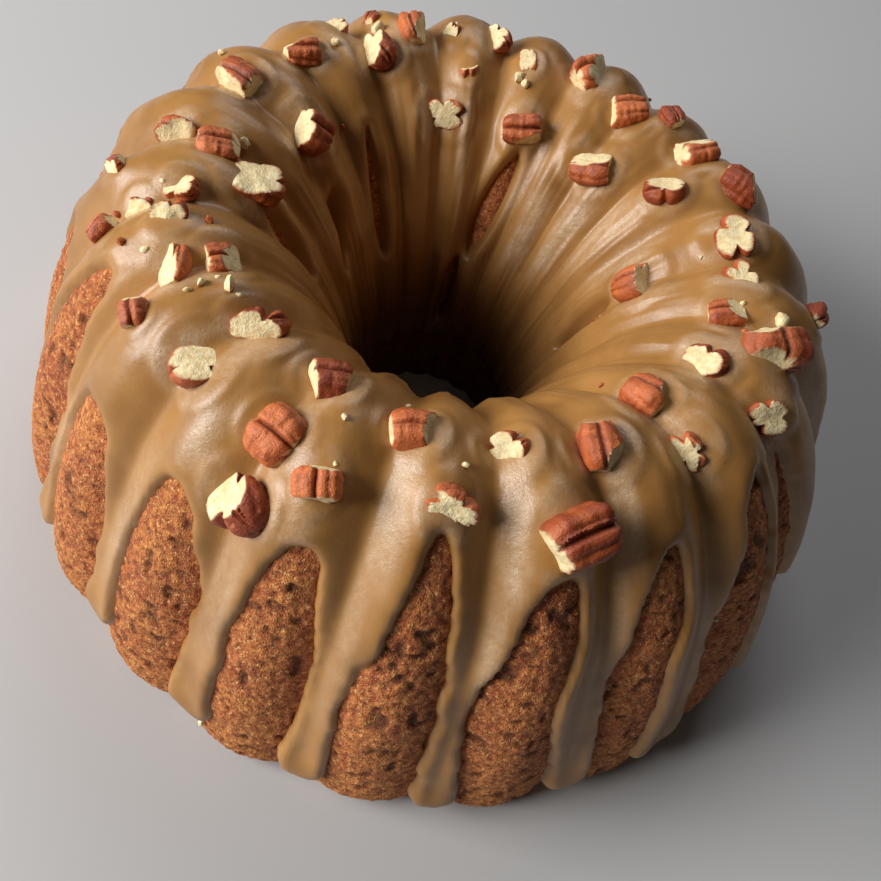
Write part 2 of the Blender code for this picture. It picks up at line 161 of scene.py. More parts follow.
# Loose crumbs of pecan: place in flutes, arc (mm), size (mm) and whether it is flesh.
CRUMBS = (
    (11.79, 1.3, 5.0, 1), (9.75, -11.6, 3.6, 1), (9.62, -13.6, 3.2, 1), (4.21, 6.2, 6.0, 1),
    (17.33, 0.3, 3.0, 1), (17.50, -4.2, 4.2, 1), (16.25, 3.3, 2.6, 1), (16.46, -5.2, 2.4, 0),
    (17.29, -3.7, 2.0, 1), (15.96, 9.2, 2.8, 0), (11.33, 1.8, 2.6, 0), (12.50, -2.7, 3.4, 1),
    (15.92, 20.6, 2.4, 0), (12.96, -24.0, 2.0, 0), (14.83, -10.1, 4.4, 1), (14.99, -7.6, 2.6, 0),
    (16.99, 1.5, 2.2, 1), (17.62, -5.2, 1.8, 1), (17.36, 3.8, 2.0, 1), (19.46, 0.8, 1.8, 1),
    (19.96, -15.0, 1.8, 1), (19.58, 9.9, 1.6, 1), (20.67, 1.9, 1.8, 1), (5.17, -14.1, 1.6, 1),
    (4.26, -4.2, 2.0, 1), (2.12, -26.5, 1.6, 0), (0.25, -6.6, 2.0, 1), (15.79, 5.2, 2.0, 1),
    (16.71, 9.7, 2.4, 1), (16.54, 14.2, 2.6, 0), (15.92, -0.7, 2.2, 1), (16.05, 1.2, 1.8, 0),
    (3.86, -2.0, 2.4, 0), (3.95, 9.5, 2.4, 1), (10.70, 3.0, 2.2, 1), (9.95, 8.0, 2.0, 0),
    (10.2, 26.0, 2.2, 1), (12.4, 30.0, 1.8, 0), (13.6, 14.0, 2.4, 1), (8.2, 24.0, 2.0, 0),
    (18.2, 108.0, 2.2, 0), (19.25, 112.0, 2.4, 1), (2.10, 58.0, 1.6, 1), (17.2, -7.5, 1.6, 1),
)


def turned_profile():
    """Arc, radius and height along the profile.

    Each side is a quarter curve: the radius follows a power of the cosine and the height a power of
    the sine.  A quarter ellipse closes the outer foot."""
    angle = np.linspace(0.0, math.pi / 2, PROFILE_SAMPLES)
    across, up = FUNNEL_POWERS
    funnel_r = CREST_RADIUS - (CREST_RADIUS - HOLE_RADIUS) * np.cos(angle) ** across
    funnel_z = HEIGHT * np.sin(angle) ** up
    across, up = SHOULDER_POWERS
    outer_r = CREST_RADIUS + (OUTER_RADIUS - CREST_RADIUS) * np.cos(angle[::-1]) ** across
    outer_z = WIDEST_Z + (HEIGHT - WIDEST_Z) * np.sin(angle[::-1]) ** up
    corner = np.linspace(0.0, math.pi / 2, CORNER_SAMPLES)[1:]
    corner_r = BASE_RADIUS + (OUTER_RADIUS - BASE_RADIUS) * np.cos(corner)
    corner_z = WIDEST_Z * (1.0 - np.sin(corner))
    radius = np.concatenate([funnel_r, outer_r[1:], corner_r])
    height = np.concatenate([funnel_z, outer_z[1:], corner_z])
    arc = np.concatenate([[0.0], np.cumsum(np.hypot(np.diff(radius), np.diff(height)))])
    return arc - arc[PROFILE_SAMPLES - 1], radius, height


ARC, RADIUS, RISE = turned_profile()
FIRST_ARC, LAST_ARC = float(ARC[0]), float(ARC[-1])
RIDGE_HEIGHTS = np.random.default_rng(RIDGE_SEED).uniform(-UNEVENNESS, UNEVENNESS, FLUTES)


def flute_depth(arcs):
    """Depth of the valleys below the ridges, in straight runs between the listed arcs."""
    return np.interp(arcs, *zip(*FLUTE_DEPTHS))


def ridge_share(flutes):
    """0 in a valley and 1 on a ridge: a power of the sine across each flute."""
    return np.sin(math.pi * np.mod(flutes, 1.0)) ** RIDGE_POWER


def fluted_point(flutes, arcs, offset=0.0):
    """The crust's surface: the profile, moved along its normal by depth times (ridge share - 1) and
    by each ridge's own height, turned round the axis and stretched along one diagonal."""
    flutes, arcs = np.broadcast_arrays(np.asarray(flutes, float), np.asarray(arcs, float))
    radius, height = np.interp(arcs, ARC, RADIUS), np.interp(arcs, ARC, RISE)
    before, after = np.maximum(arcs - SLOPE_STEP, FIRST_ARC), np.minimum(arcs + SLOPE_STEP, LAST_ARC)
    run = np.interp(after, ARC, RADIUS) - np.interp(before, ARC, RADIUS)
    rise = np.interp(after, ARC, RISE) - np.interp(before, ARC, RISE)
    length = np.hypot(run, rise)
    level = np.clip((arcs - FOOT_ARC) / FOOT_BLEND, 0.0, 1.0)
    out, up = -rise / length * (1.0 - level) + level, run / length * (1.0 - level)
    ridge, depth = ridge_share(flutes), flute_depth(arcs)
    lift = RIDGE_HEIGHTS[np.floor(flutes).astype(int) % FLUTES] * ridge
    move = depth * (ridge - 1.0) + lift * depth / FULL_DEPTH + offset
    azimuth = FIRST_VALLEY + 2.0 * math.pi * flutes / FLUTES
    oval = OVAL * np.clip(arcs / OVAL_ARC, 0.0, 1.0) * np.cos(2.0 * (azimuth - OVAL_AZIMUTH))
    radius = (radius + out * move) * (1.0 + oval)
    return np.stack([radius * np.cos(azimuth), radius * np.sin(azimuth), height + up * move], -1)


def surface_normal(flutes, arcs):
    """Unit normal of the crust: the cross product of its slopes along the arc and round the cake."""
    around_step, along_step = 0.03, 0.0006
    low, high = np.maximum(arcs - along_step, FIRST_ARC), np.minimum(arcs + along_step, LAST_ARC)
    along = fluted_point(flutes, high) - fluted_point(flutes, low)
    around = fluted_point(flutes + around_step, arcs) - fluted_point(flutes - around_step, arcs)
    normal = np.cross(along, around)
    return normal / np.linalg.norm(normal, axis=-1, keepdims=True)


def flute_width(arcs):
    """Width of one flute at an arc: the circle there, shared among the flutes."""
    return 2.0 * math.pi * np.interp(arcs, ARC, RADIUS) / FLUTES


# Odd multipliers that mix a lattice cell's three counts and a seed into one number of 32 bits, the
# shifts and multipliers that stir it, and the bits of it that are used.
COUNT_MIXERS = (73856093, 19349663, 83492791)
SEED_MIXER = 40503
STIRS = ((15, 2246822519), (13, 3266489917))
LAST_SHIFT = 16
WORD = 0xFFFFFFFF
USED_BITS = 0xFFFFFF


def hashed(cells, seed):
    """A number from 0 to 1 for each lattice cell, from its three counts and the seed."""
    first, second, third = COUNT_MIXERS
    key = cells[..., 0] * first ^ cells[..., 1] * second ^ cells[..., 2] * third
    key = (key ^ (seed + 1) * SEED_MIXER) & WORD
    for shift, mixer in STIRS:
        key = ((key ^ (key >> shift)) * mixer) & WORD
    return ((key ^ (key >> LAST_SHIFT)) & USED_BITS) / USED_BITS


def smooth_noise(points, size, seed=0):
    """Noise from -1 to 1: a hashed number at each lattice corner, blended by 3t^2 - 2t^3."""
    place = points / size
    cell = np.floor(place).astype(np.int64)
    share = place - cell
    share = share * share * (3.0 - 2.0 * share)
    total = np.zeros(points.shape[:-1])
    for corner in np.ndindex(2, 2, 2):
        weight = np.prod(np.where(np.array(corner, bool), share, 1.0 - share), axis=-1)
        total += weight * hashed(cell + np.array(corner), seed)
    return 2.0 * total - 1.0


def grain_noise(points, size, seed=0):
    """Distance, in cells, to the nearest of a set of points scattered one to a lattice cell."""
    place = points / size
    cell = np.floor(place).astype(np.int64)
    nearest = np.full(points.shape[:-1], np.inf)
    for step in np.ndindex(3, 3, 3):
        near = cell + np.array(step) - 1
        spot = near + np.stack([hashed(near, seed + axis) for axis in (1, 2, 3)], -1)
        nearest = np.minimum(nearest, ((spot - place) ** 2).sum(-1))
    return np.sqrt(nearest)


def soft_max(first, second, blend):
    """The larger of two values, rounded where they meet by a quarter of blend (1 - gap/blend)^2."""
    near = np.clip(1.0 - np.abs(first - second) / blend, 0.0, 1.0)
    return np.maximum(first, second) + 0.25 * blend * near * near


def smooth_step(value):
    """0 up to a value of 0, 1 from a value of 1, and 3t^2 - 2t^3 between them."""
    value = np.clip(value, 0.0, 1.0)
    return value * value * (3.0 - 2.0 * value)


# Shape of the icing's edge.
ARCH_RISE = 0.012           # how much further down an arch's sides lie than its top
ARCH_POWER = 2.4
ARCH_REACH = 1.45           # the arch stops here, in half widths, and the drips go on alone
EDGE_DOWN = 0.009           # arc below a panel's top where its edges have their first places
MIDDLE_EDGE = 0.065         # arcs where they have their half-way places and those at the foot
FOOT_EDGE = 0.108
CORNER_BLEND = 0.006        # rounding where an arch meets a drip, and where a strand joins on
STRAND_BLEND = 0.001
SWELL = 0.18                # how much wider a drip is just above its end, and over what run
SWELL_RUN = 0.007
THINNEST = 0.05             # least square of a run's width at its tips, as a share of the middle's
INNER_ARC = -0.101          # where the icing ends in the hole, and how far that waves
INNER_WAVE = 0.0008
# How far the edges wander, the size of the wandering and its seed.
EDGE_WANDERS = ((0.0009, 0.009, 3), (0.0004, 0.003, 4))
INNER_WANDER = (0.003, 0.010, 5)


def panel_edges(flute, arcs):
    """Left and right edge of a bare panel, as places across its flute, easing between the three
    pairs that are listed for it."""
    row = PANELS[flute % FLUTES]
    first = row[..., 0] * MM + EDGE_DOWN
    second = np.maximum(MIDDLE_EDGE, first + EDGE_DOWN)
    upper = smooth_step((arcs - first) / (second - first))
    lower = smooth_step((arcs - second) / (FOOT_EDGE - second))
    edges = []
    for side in (2, 3):
        top, middle, foot = row[..., side], row[..., side + 2], row[..., side + 4]
        edges.append(top + (middle - top) * upper + (foot - middle) * lower)
    return edges


def arch_depth(flute, across, arcs):
    """How far above a panel's arch a place lies: the arch falls from the panel's top by a power of
    the distance aside, and the gap along the arc is divided by the root of 1 + slope squared."""
    row = PANELS[flute % FLUTES]
    place, left, right = row[..., 1], row[..., 2], row[..., 3]
    span = np.where(across < place, place - left, right - place)
    reach = np.minimum(np.abs(across - place) / span, ARCH_REACH)
    arch = row[..., 0] * MM + ARCH_RISE * reach ** ARCH_POWER
    slope = ARCH_RISE * ARCH_POWER * reach ** (ARCH_POWER - 1.0) / (span * flute_width(arcs))
    return (arch - arcs) / np.sqrt(1.0 + slope ** 2)


def drip_depth(valley, across, arcs):
    """How far inside one drip a place lies: half the width, swollen in a bell curve just above the
    end, less the distance from its middle line; round the end the distance is from the centre of a
    circle."""
    left, _ = panel_edges(valley, arcs)
    _, right = panel_edges(valley - 1, arcs)
    width = flute_width(arcs)
    end = DRIP_ENDS[valley % FLUTES]
    swell = 1.0 + SWELL * np.exp(-((arcs - end + SWELL_RUN) / SWELL_RUN) ** 2)
    half = 0.5 * (left - right + 1.0) * width * swell
    aside = (across - 0.5 * (left + right - 1.0)) * width
    past = np.maximum(arcs - (end - half), 0.0)
    return half - np.hypot(aside, past)


def round_gap(flutes, place):
    """Signed distance in flutes from a place, the shorter way round the cake."""
    return np.mod(flutes - place + FLUTES / 2, FLUTES) - FLUTES / 2


def run_depth(run, flutes, arcs):
    """How far inside a thin slanting run a place lies: half its width, which falls to its tips as
    the root of 4 share (1 - share), less the distance from its middle line."""
    place, first, last, half, lean = run
    first, last = first * MM, last * MM
    share = np.clip((arcs - first) / (last - first), 0.0, 1.0)
    aside = round_gap(flutes - lean * (share - 0.5), place)
    past = arcs - np.clip(arcs, first, last)
    thin = np.sqrt(np.clip(4.0 * share * (1.0 - share), THINNEST, 1.0))
    return half * MM * thin - np.hypot(aside * flute_width(arcs), past)


def icing_depth(flutes, arcs):
    """How far inside the icing's edge a place lies, negative on bare crust.

    The icing is what lies above each panel's arch, joined to the drips beside it; it ends in the
    hole on a wavy line, and slits are taken out of it."""
    flutes, arcs = np.broadcast_arrays(flutes, arcs)
    flute = np.floor(flutes).astype(int)
    across = flutes - flute
    depth = arch_depth(flute, across, arcs)
    for side in (0, 1):
        depth = soft_max(depth, drip_depth(flute + side, across - side, arcs), CORNER_BLEND)
    for strand in STRANDS:
        depth = soft_max(depth, run_depth(strand, flutes, arcs), STRAND_BLEND)
    points = fluted_point(flutes, arcs)
    for reach, size, seed in EDGE_WANDERS:
        depth = depth + reach * smooth_noise(points, size, seed)
    reach, size, seed = INNER_WANDER
    inner = arcs - INNER_ARC - INNER_WAVE * np.cos(2.0 * math.pi * flutes)
    depth = np.minimum(depth, inner + reach * smooth_noise(points, size, seed))
    for slit in SLITS:
        depth = np.minimum(depth, -run_depth(slit, flutes, arcs))
    return depth


def quads(rows, columns, closed=False):
    """Corners of a grid's cells, wound so that rows crossed with columns gives the outer side."""
    row, column = np.meshgrid(np.arange(rows - 1), np.arange(columns - (not closed)), indexing="ij")
    beside = (column + 1) % columns
    corners = [row * columns + column, (row + 1) * columns + column,
               (row + 1) * columns + beside, row * columns + beside]
    return np.stack(corners, -1)


def cells_with(inside):
    """The cells of a grid that have at least one corner inside."""
    return inside[:-1, :-1] | inside[1:, :-1] | inside[:-1, 1:] | inside[1:, 1:]


def used_only(points, faces, values):
    """The same mesh without the points that no face uses."""
    used, faces = np.unique(faces, return_inverse=True)
    return points[used], faces.reshape(-1, 4), {name: value[used] for name, value in values.items()}


def mesh_from(name, points, faces):
    """A mesh from arrays of points and of equal faces, or from lists where the faces differ."""
    mesh = bpy.data.meshes.new(name)
    if isinstance(faces, list):
        mesh.from_pydata(points, [], faces)
    else:
        mesh.vertices.add(len(points))
        mesh.vertices.foreach_set("co", np.ascontiguousarray(points, np.float32).ravel())
        mesh.loops.add(faces.size)
        mesh.loops.foreach_set("vertex_index", np.ascontiguousarray(faces, np.int32).ravel())
        mesh.polygons.add(len(faces))
        starts = np.arange(0, faces.size, faces.shape[1], dtype=np.int32)
        mesh.polygons.foreach_set("loop_start", starts)
        mesh.update(calc_edges=True)
    mesh.validate()
    return mesh


def add_piece(name, points, faces, material, values=None, replaced=(), sharp=None):
    """A mesh object that rides on the cake, with one number per point for each value; edges over
    the sharp angle, in degrees, stay hard."""
    mesh = mesh_from(name, points, faces)
    for key, value in (values or {}).items():
        layer = mesh.attributes.new(key, "FLOAT", "POINT")
        layer.data.foreach_set("value", np.ascontiguousarray(value, np.float32))
    mesh.shade_smooth()
    if sharp:
        mesh.set_sharp_from_angle(angle=math.radians(sharp))
    mesh.materials.append(material)
    made = bpy.data.objects.new(name, mesh)
    bpy.context.scene.collection.objects.link(made)
    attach(made, BODY)
    if replaced:
        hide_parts(*replaced)
    return made


# Shader building.

class Shader:
    """A node tree with short calls for the nodes that these materials use."""

    # Sockets of the Mix node when it mixes colours: the share, both colours and the result.
    MIX_INPUTS = (0, 6, 7)
    MIX_RESULT = 2

    def __init__(self, tree):
        self.tree = tree

    def feed(self, socket, value):
        """Link a socket to another one, or set it to a plain value."""
        if isinstance(value, bpy.types.NodeSocket):
            self.tree.links.new(value, socket)
        else:
            socket.default_value = value

    def node(self, kind, inputs=None, **settings):
        """A new node with its settings and inputs."""
        made = self.tree.nodes.new(kind)
        for key, value in settings.items():
            setattr(made, key, value)
        for key, value in (inputs or {}).items():
            self.feed(made.inputs[key], value)
        return made

    def math(self, operation, *values, clamp=False):
        """Arithmetic on the values, held between 0 and 1 where clamp is set."""
        made = self.node("ShaderNodeMath", dict(enumerate(values)), operation=operation,
                         use_clamp=clamp)
        return made.outputs[0]

    def times(self, first, second, clamp=False):
        """The product of two values."""
        return self.math("MULTIPLY", first, second, clamp=clamp)

    def mix(self, share, first, second, blend="MIX"):
        """The first colour, covered by the second by a share."""
        made = self.node("ShaderNodeMix", data_type="RGBA", blend_type=blend)
        for index, value in zip(self.MIX_INPUTS, (share, first, second)):
            self.feed(made.inputs[index], value)
        return made.outputs[self.MIX_RESULT]

    def remap(self, value, low, high):
        """0 up to low, 1 from high, and straight between them."""
        made = self.node("ShaderNodeMapRange", {"Value": value, "From Min": low, "From Max": high})
        return made.outputs[0]

    def places(self):
        """Places on the piece itself, in metres."""
        return self.node("ShaderNodeTexCoord").outputs["Object"]

    def noise(self, vector, scale, detail=3.0, roughness=0.55):
        """Noise of so many cells to the metre."""
        made = self.node("ShaderNodeTexNoise", {"Vector": vector, "Scale": scale, "Detail": detail,
                                                "Roughness": roughness})
        return made.outputs["Fac"]

    def clouds(self, vector, scale, low, high, detail=3.0, roughness=0.55):
        """Noise stretched so that low becomes 0 and high becomes 1."""
        return self.remap(self.noise(vector, scale, detail, roughness), low, high)

    def value(self, name):
        """A number that the mesh carries at each point."""
        return self.node("ShaderNodeAttribute", attribute_name=name).outputs["Fac"]

    def bump(self, surface, height, strength, distance):
        """Tilt the surface's normal by a height."""
        made = self.node("ShaderNodeBump", {"Height": height, "Strength": strength,
                                            "Distance": distance})
        self.feed(surface.inputs["Normal"], made.outputs["Normal"])


def colour(red, green, blue):
    """A linear colour from display values of 0 to 255, by the curve that displays share."""
    share = np.array([red, green, blue]) / 255.0
    linear = np.where(share <= 0.04045, share / 12.92, ((share + 0.055) / 1.055) ** 2.4)
    return (*map(float, linear), 1.0)


# The baked grain: detail and roughness of its two noises, how much the fine one adds to the height,
# and the values of the coarse one that become dark and light.
COARSE_NOISE = (4.0, 0.65)
FINE_NOISE = (2.0, 0.6)
FINE_HEIGHT = 0.45
SPECKLE_RANGE = (0.36, 0.64)


def grain_group():
    """Two sizes of speckle: a value for colour and a height for bump."""
    name = "Baked Grain"
    if name in bpy.data.node_groups:
        return bpy.data.node_groups[name]
    tree = bpy.data.node_groups.new(name, "ShaderNodeTree")
    for label, default in (("Coarse", 400.0), ("Fine", 1400.0)):
        socket = tree.interface.new_socket(label, in_out="INPUT", socket_type="NodeSocketFloat")
        socket.default_value = default
    for label in ("Speckle", "Height"):
        tree.interface.new_socket(label, in_out="OUTPUT", socket_type="NodeSocketFloat")
    shader = Shader(tree)
    sizes = shader.node("NodeGroupInput").outputs
    where = shader.places()
    coarse = shader.noise(where, sizes["Coarse"], *COARSE_NOISE)
    fine = shader.noise(where, sizes["Fine"], *FINE_NOISE)
    end = shader.node("NodeGroupOutput")
    shader.feed(end.inputs["Speckle"], shader.remap(coarse, *SPECKLE_RANGE))
    shader.feed(end.inputs["Height"], shader.math("ADD", coarse, shader.times(fine, FINE_HEIGHT)))
    return tree


def new_material(name, roughness):
    """A material, its node tree with short calls, and its surface shader."""
    made = bpy.data.materials.new(name)
    made.use_nodes = True
    surface = made.node_tree.nodes["Principled BSDF"]
    surface.inputs["Roughness"].default_value = roughness
    return made, Shader(made.node_tree), surface


def grain(shader, coarse, fine):
    """The speckle and the height of the baked grain, by its cells to the metre."""
    made = shader.node("ShaderNodeGroup", node_tree=grain_group())
    made.inputs["Coarse"].default_value = coarse
    made.inputs["Fine"].default_value = fine
    return made.outputs["Speckle"], made.outputs["Height"]


# Looks of the three materials.  A GRAIN is the cells to the metre of the coarse and the fine
# speckle, a BUMP its strength and distance, CLOUDS the cells to the metre, the noise's values that
# become 0 and 1, its detail and its roughness, and a SHARE how far a colour covers the others.
CRUST_ROUGH = 0.75
CRUST_GLOSS = 0.4
CRUST_GRAIN = (560.0, 2000.0)
CRUST_BUMP = (1.0, 0.0015)
CRUST_CLOUDS = (60.0, 0.40, 0.64)
GLINT_CLOUDS = (1100.0, 0.57, 0.70, 2.0)
TOASTED_SHARE = 0.45
DEEP_SHARE = 0.9
GLINT_SHARE = 0.7
PORE_AND_SHADE_SHARE = 0.8

ICING_ROUGH = 0.4
ICING_GLOSS = 0.5
ICING_GRAIN = (900.0, 2600.0)
ICING_CLOUDS = (45.0, 0.35, 0.68)
PALE_CLOUDS = (620.0, 0.30, 0.66, 4.0, 0.7)
PALE_LEAST = 0.35          # the pale patches keep this share of their strength between their specks
PALE_SHARE = 0.72
SMOOTHEST = 0.29            # roughness of the icing, and what speckle adds and the pale patches take away
SPECKLE_ROUGH = 0.10
PALE_SMOOTH = 0.10
TOOTH = 0.18                # strength of its bump, and what the pale patches add
PALE_TOOTH = 0.7
TOOTH_DISTANCE = 0.0004

NUT_ROUGH = 0.45
NUT_GRAIN = (700.0, 2200.0)
NUT_BUMP = (0.7, 0.0006)
GROOVE_SHARE = 0.8
SPECK_SHARE = 0.25
SKIN_ROUGH = 0.46           # roughness of the skin, and what flesh adds
FLESH_ROUGH = 0.2


def crust_material(settings):
    """Open, toasted crumb: dark pores between reddish and golden grains, with the pores' colour also laid
    in as painted shade down the hole.
    """
    made, shader, surface = new_material("Toasted Crust", CRUST_ROUGH)
    speckle, height = grain(shader, *CRUST_GRAIN)
    where = shader.places()
    cloudy = shader.times(shader.clouds(where, *CRUST_CLOUDS), TOASTED_SHARE)
    base = shader.mix(cloudy, settings.crumb, settings.tips)
    base = shader.mix(shader.value("toast"), base, settings.tips)
    gaps = shader.times(shader.math("SUBTRACT", 1.0, speckle), DEEP_SHARE)
    base = shader.mix(gaps, base, settings.deep)
    glints = shader.times(shader.clouds(where, *GLINT_CLOUDS), GLINT_SHARE)
    base = shader.mix(glints, base, settings.glint)
    # The pores' dark colour, which also lays painted shade on the core down the hole.
    base = shader.mix(shader.times(shader.value("pit"), PORE_AND_SHADE_SHARE), base, settings.pores_and_shade)
    shader.feed(surface.inputs["Base Color"], base)
    shader.bump(surface, height, *CRUST_BUMP)
    surface.inputs["Specular IOR Level"].default_value = CRUST_GLOSS
    return made


def icing_material(settings):
    """Caramel icing: cloudy tan and a fine sugary tooth, with painted sheen in pale patches, pale rims
    round the pecans, and painted shade down in the hole.
    """
    made, shader, surface = new_material("Caramel Icing", ICING_ROUGH)
    where = shader.places()
    speckle, height = grain(shader, *ICING_GRAIN)
    base = shader.mix(shader.clouds(where, *ICING_CLOUDS), settings.caramel, settings.amber)
    patchy = shader.times(shader.clouds(where, *PALE_CLOUDS), 1.0 - PALE_LEAST)
    patchy = shader.math("ADD", PALE_LEAST, patchy)
    bloom = shader.times(shader.value("bloom"), patchy, clamp=True)
    # Painted sheen: a pale colour laid over the icing where it reflects the light, and on the rims round
    # the pecans.
    base = shader.mix(shader.times(bloom, PALE_SHARE), base, settings.bloom)
    # Painted shade: the icing darkens towards a dark colour down in the hole, where little light reaches.
    base = shader.mix(shader.value("thin"), base, settings.thin)
    shader.feed(surface.inputs["Base Color"], base)
    rough = shader.math("ADD", SMOOTHEST, shader.times(speckle, SPECKLE_ROUGH))
    rough = shader.math("SUBTRACT", rough, shader.times(bloom, PALE_SMOOTH))
    shader.feed(surface.inputs["Roughness"], rough)
    tooth = shader.math("ADD", TOOTH, shader.times(bloom, PALE_TOOTH))
    shader.bump(surface, height, tooth, TOOTH_DISTANCE)
    surface.inputs["Specular IOR Level"].default_value = ICING_GLOSS
    return made


def nut_material(settings):
    """Pecan: streaked red-brown skin, darker in its grooves, and cream where it is broken."""
    made, shader, surface = new_material("Pecan", NUT_ROUGH)
    speckle, height = grain(shader, *NUT_GRAIN)
    flesh = shader.value("flesh")
    skin = shader.mix(shader.value("tone"), settings.skin_dark, settings.skin_light)
    skin = shader.mix(shader.times(shader.value("groove"), GROOVE_SHARE), skin, settings.groove)
    skin = shader.mix(shader.times(speckle, SPECK_SHARE), skin, settings.skin_dark)
    inside = shader.mix(speckle, settings.flesh_dark, settings.flesh)
    shader.feed(surface.inputs["Base Color"], shader.mix(flesh, skin, inside))
    rough = shader.math("ADD", SKIN_ROUGH, shader.times(flesh, FLESH_ROUGH))
    shader.feed(surface.inputs["Roughness"], rough)
    shader.bump(surface, height, *NUT_BUMP)
    return made


# Crust.
WALL_FIRST = 0.006          # arc at which the fine walls begin, under the icing
WALL_UNDER = 0.0045         # how far they run in under the icing's edge
WALL_COLUMNS = 54           # columns to a flute
WALL_ROWS = 196
WALL_SPLIT = 4.5            # place in flutes where the front wall ends and the back one begins
CORE_DROP = 0.0013          # how far the core lies inside the crust's surface
CORE_COLUMNS = 14           # columns to a flute
CORE_ROWS = 120
END_RUN = 0.003             # arc over which that drop fades out at the core's ends
FLOOR_GAP = 0.0004
# The crumb: size and depth of its lumps, grains and pits; then which values of the noise are pits.
LUMP_SIZE = 0.0046
LUMP_DEPTH = 0.00035
GRAIN_SIZE = 0.0020
GRAIN_DEPTH = 0.00065
PIT_SIZE = 0.0030
PIT_DEPTH = 0.0006
PIT_FROM = 0.32
PIT_RAMP = 0.4
LUMP_SEED, PIT_SEED, GRAIN_SEED, TOAST_SEED = 11, 17, 23, 29
DARK_SHARE = 0.8            # how dark the gaps between grains and the pits are, less a little
DARK_LESS = 0.1
FOOT_RUN = 0.004            # arc over which the relief fades out at the foot
FOOT_TUCK = 0.985           # the last row of the wall, drawn in by this share at the floor
# Toasting of the walls: from an arc, over a run, up to a share; a second share away from the icing's
# edge, over a run; and its clouds.  Then the toasting and the clouds of the core.
TOAST_FROM = 0.085
TOAST_RUN = 0.035
TOAST_LOW = 0.55
TOAST_OPEN = 0.35
TOAST_NEAR = 0.006
TOAST_CLOUD = 0.45
TOAST_SIZE = 0.012
CORE_TOAST = 0.25
CORE_CLOUD = 0.3
CORE_CLOUD_SIZE = 0.011
# In the hole: the arc and run over which the core comes up to the surface, and those over which painted
# shade darkens it, where little light reaches; and how dark its own pits are.
HOLE_FROM = -0.062
HOLE_RUN = 0.012
SHADE_FROM = -0.058
SHADE_RUN = 0.03
CORE_PITS = 0.6


def crumb_relief(points, coarseness):
    """How far in the crumb lies, 0 being the outermost, and how dark it is there: grains whose
    relief is the distance from scattered points, on larger lumps, with a few deeper pits."""
    lumps = 0.5 - 0.5 * smooth_noise(points, LUMP_SIZE, LUMP_SEED)
    pits = smooth_step((smooth_noise(points, PIT_SIZE, PIT_SEED) - PIT_FROM) / PIT_RAMP)
    grains = np.clip(grain_noise(points, GRAIN_SIZE, GRAIN_SEED), 0.0, 1.0)
    relief = LUMP_DEPTH * lumps + GRAIN_DEPTH * grains + PIT_DEPTH * pits
    dark = np.clip(DARK_SHARE * grains ** 3 + DARK_SHARE * pits - DARK_LESS, 0.0, 1.0)
    return relief * coarseness, dark


def wall_toast(points, arcs, depth):
    """How toasted a wall is: more towards the foot, and away from the icing's edge, with clouds."""
    near_edge = smooth_step(1.0 + depth / TOAST_NEAR)
    toast = smooth_step((arcs - TOAST_FROM) / TOAST_RUN) * TOAST_LOW + TOAST_OPEN * (1.0 - near_edge)
    return np.clip(toast + TOAST_CLOUD * smooth_noise(points, TOAST_SIZE, TOAST_SEED), 0.0, 1.0)


def crust_wall(name, first, last, material, coarseness):
    """A stretch of outer wall: the crust's surface less the crumb's relief, kept where it is bare
    or just under the icing's edge, and tucked in at the foot."""
    columns = int(round((last - first) * WALL_COLUMNS)) + 1
    flutes = np.linspace(first, last, columns)[None, :]
    arcs = np.linspace(WALL_FIRST, LAST_ARC, WALL_ROWS)[:, None]
    flutes, arcs = np.broadcast_arrays(flutes, arcs)
    points = fluted_point(flutes, arcs)
    relief, pit = crumb_relief(points, coarseness)
    foot = np.clip((arcs - LAST_ARC + FOOT_RUN) / FOOT_RUN, 0.0, 1.0)
    shaped = points - surface_normal(flutes, arcs) * (relief * (1.0 - foot))[..., None]
    shaped[..., 2] = np.maximum(shaped[..., 2], 0.0)
    depth = icing_depth(flutes, arcs)
    toast = wall_toast(points, arcs, depth)
    tucked = shaped[-1] * np.array([FOOT_TUCK, FOOT_TUCK, 0.0])
    shaped = np.concatenate([shaped, tucked[None]])
    pit = np.concatenate([pit, pit[-1:]])
    toast = np.concatenate([toast, toast[-1:]])
    keep = cells_with(depth < WALL_UNDER)
    keep = np.concatenate([keep, keep[-1:]])
    values = {"pit": pit.ravel(), "toast": toast.ravel()}
    cells = quads(WALL_ROWS + 1, columns)[keep]
    points, faces, values = used_only(shaped.reshape(-1, 3), cells, values)
    return add_piece(name, points, faces, material, values, ("cake",))


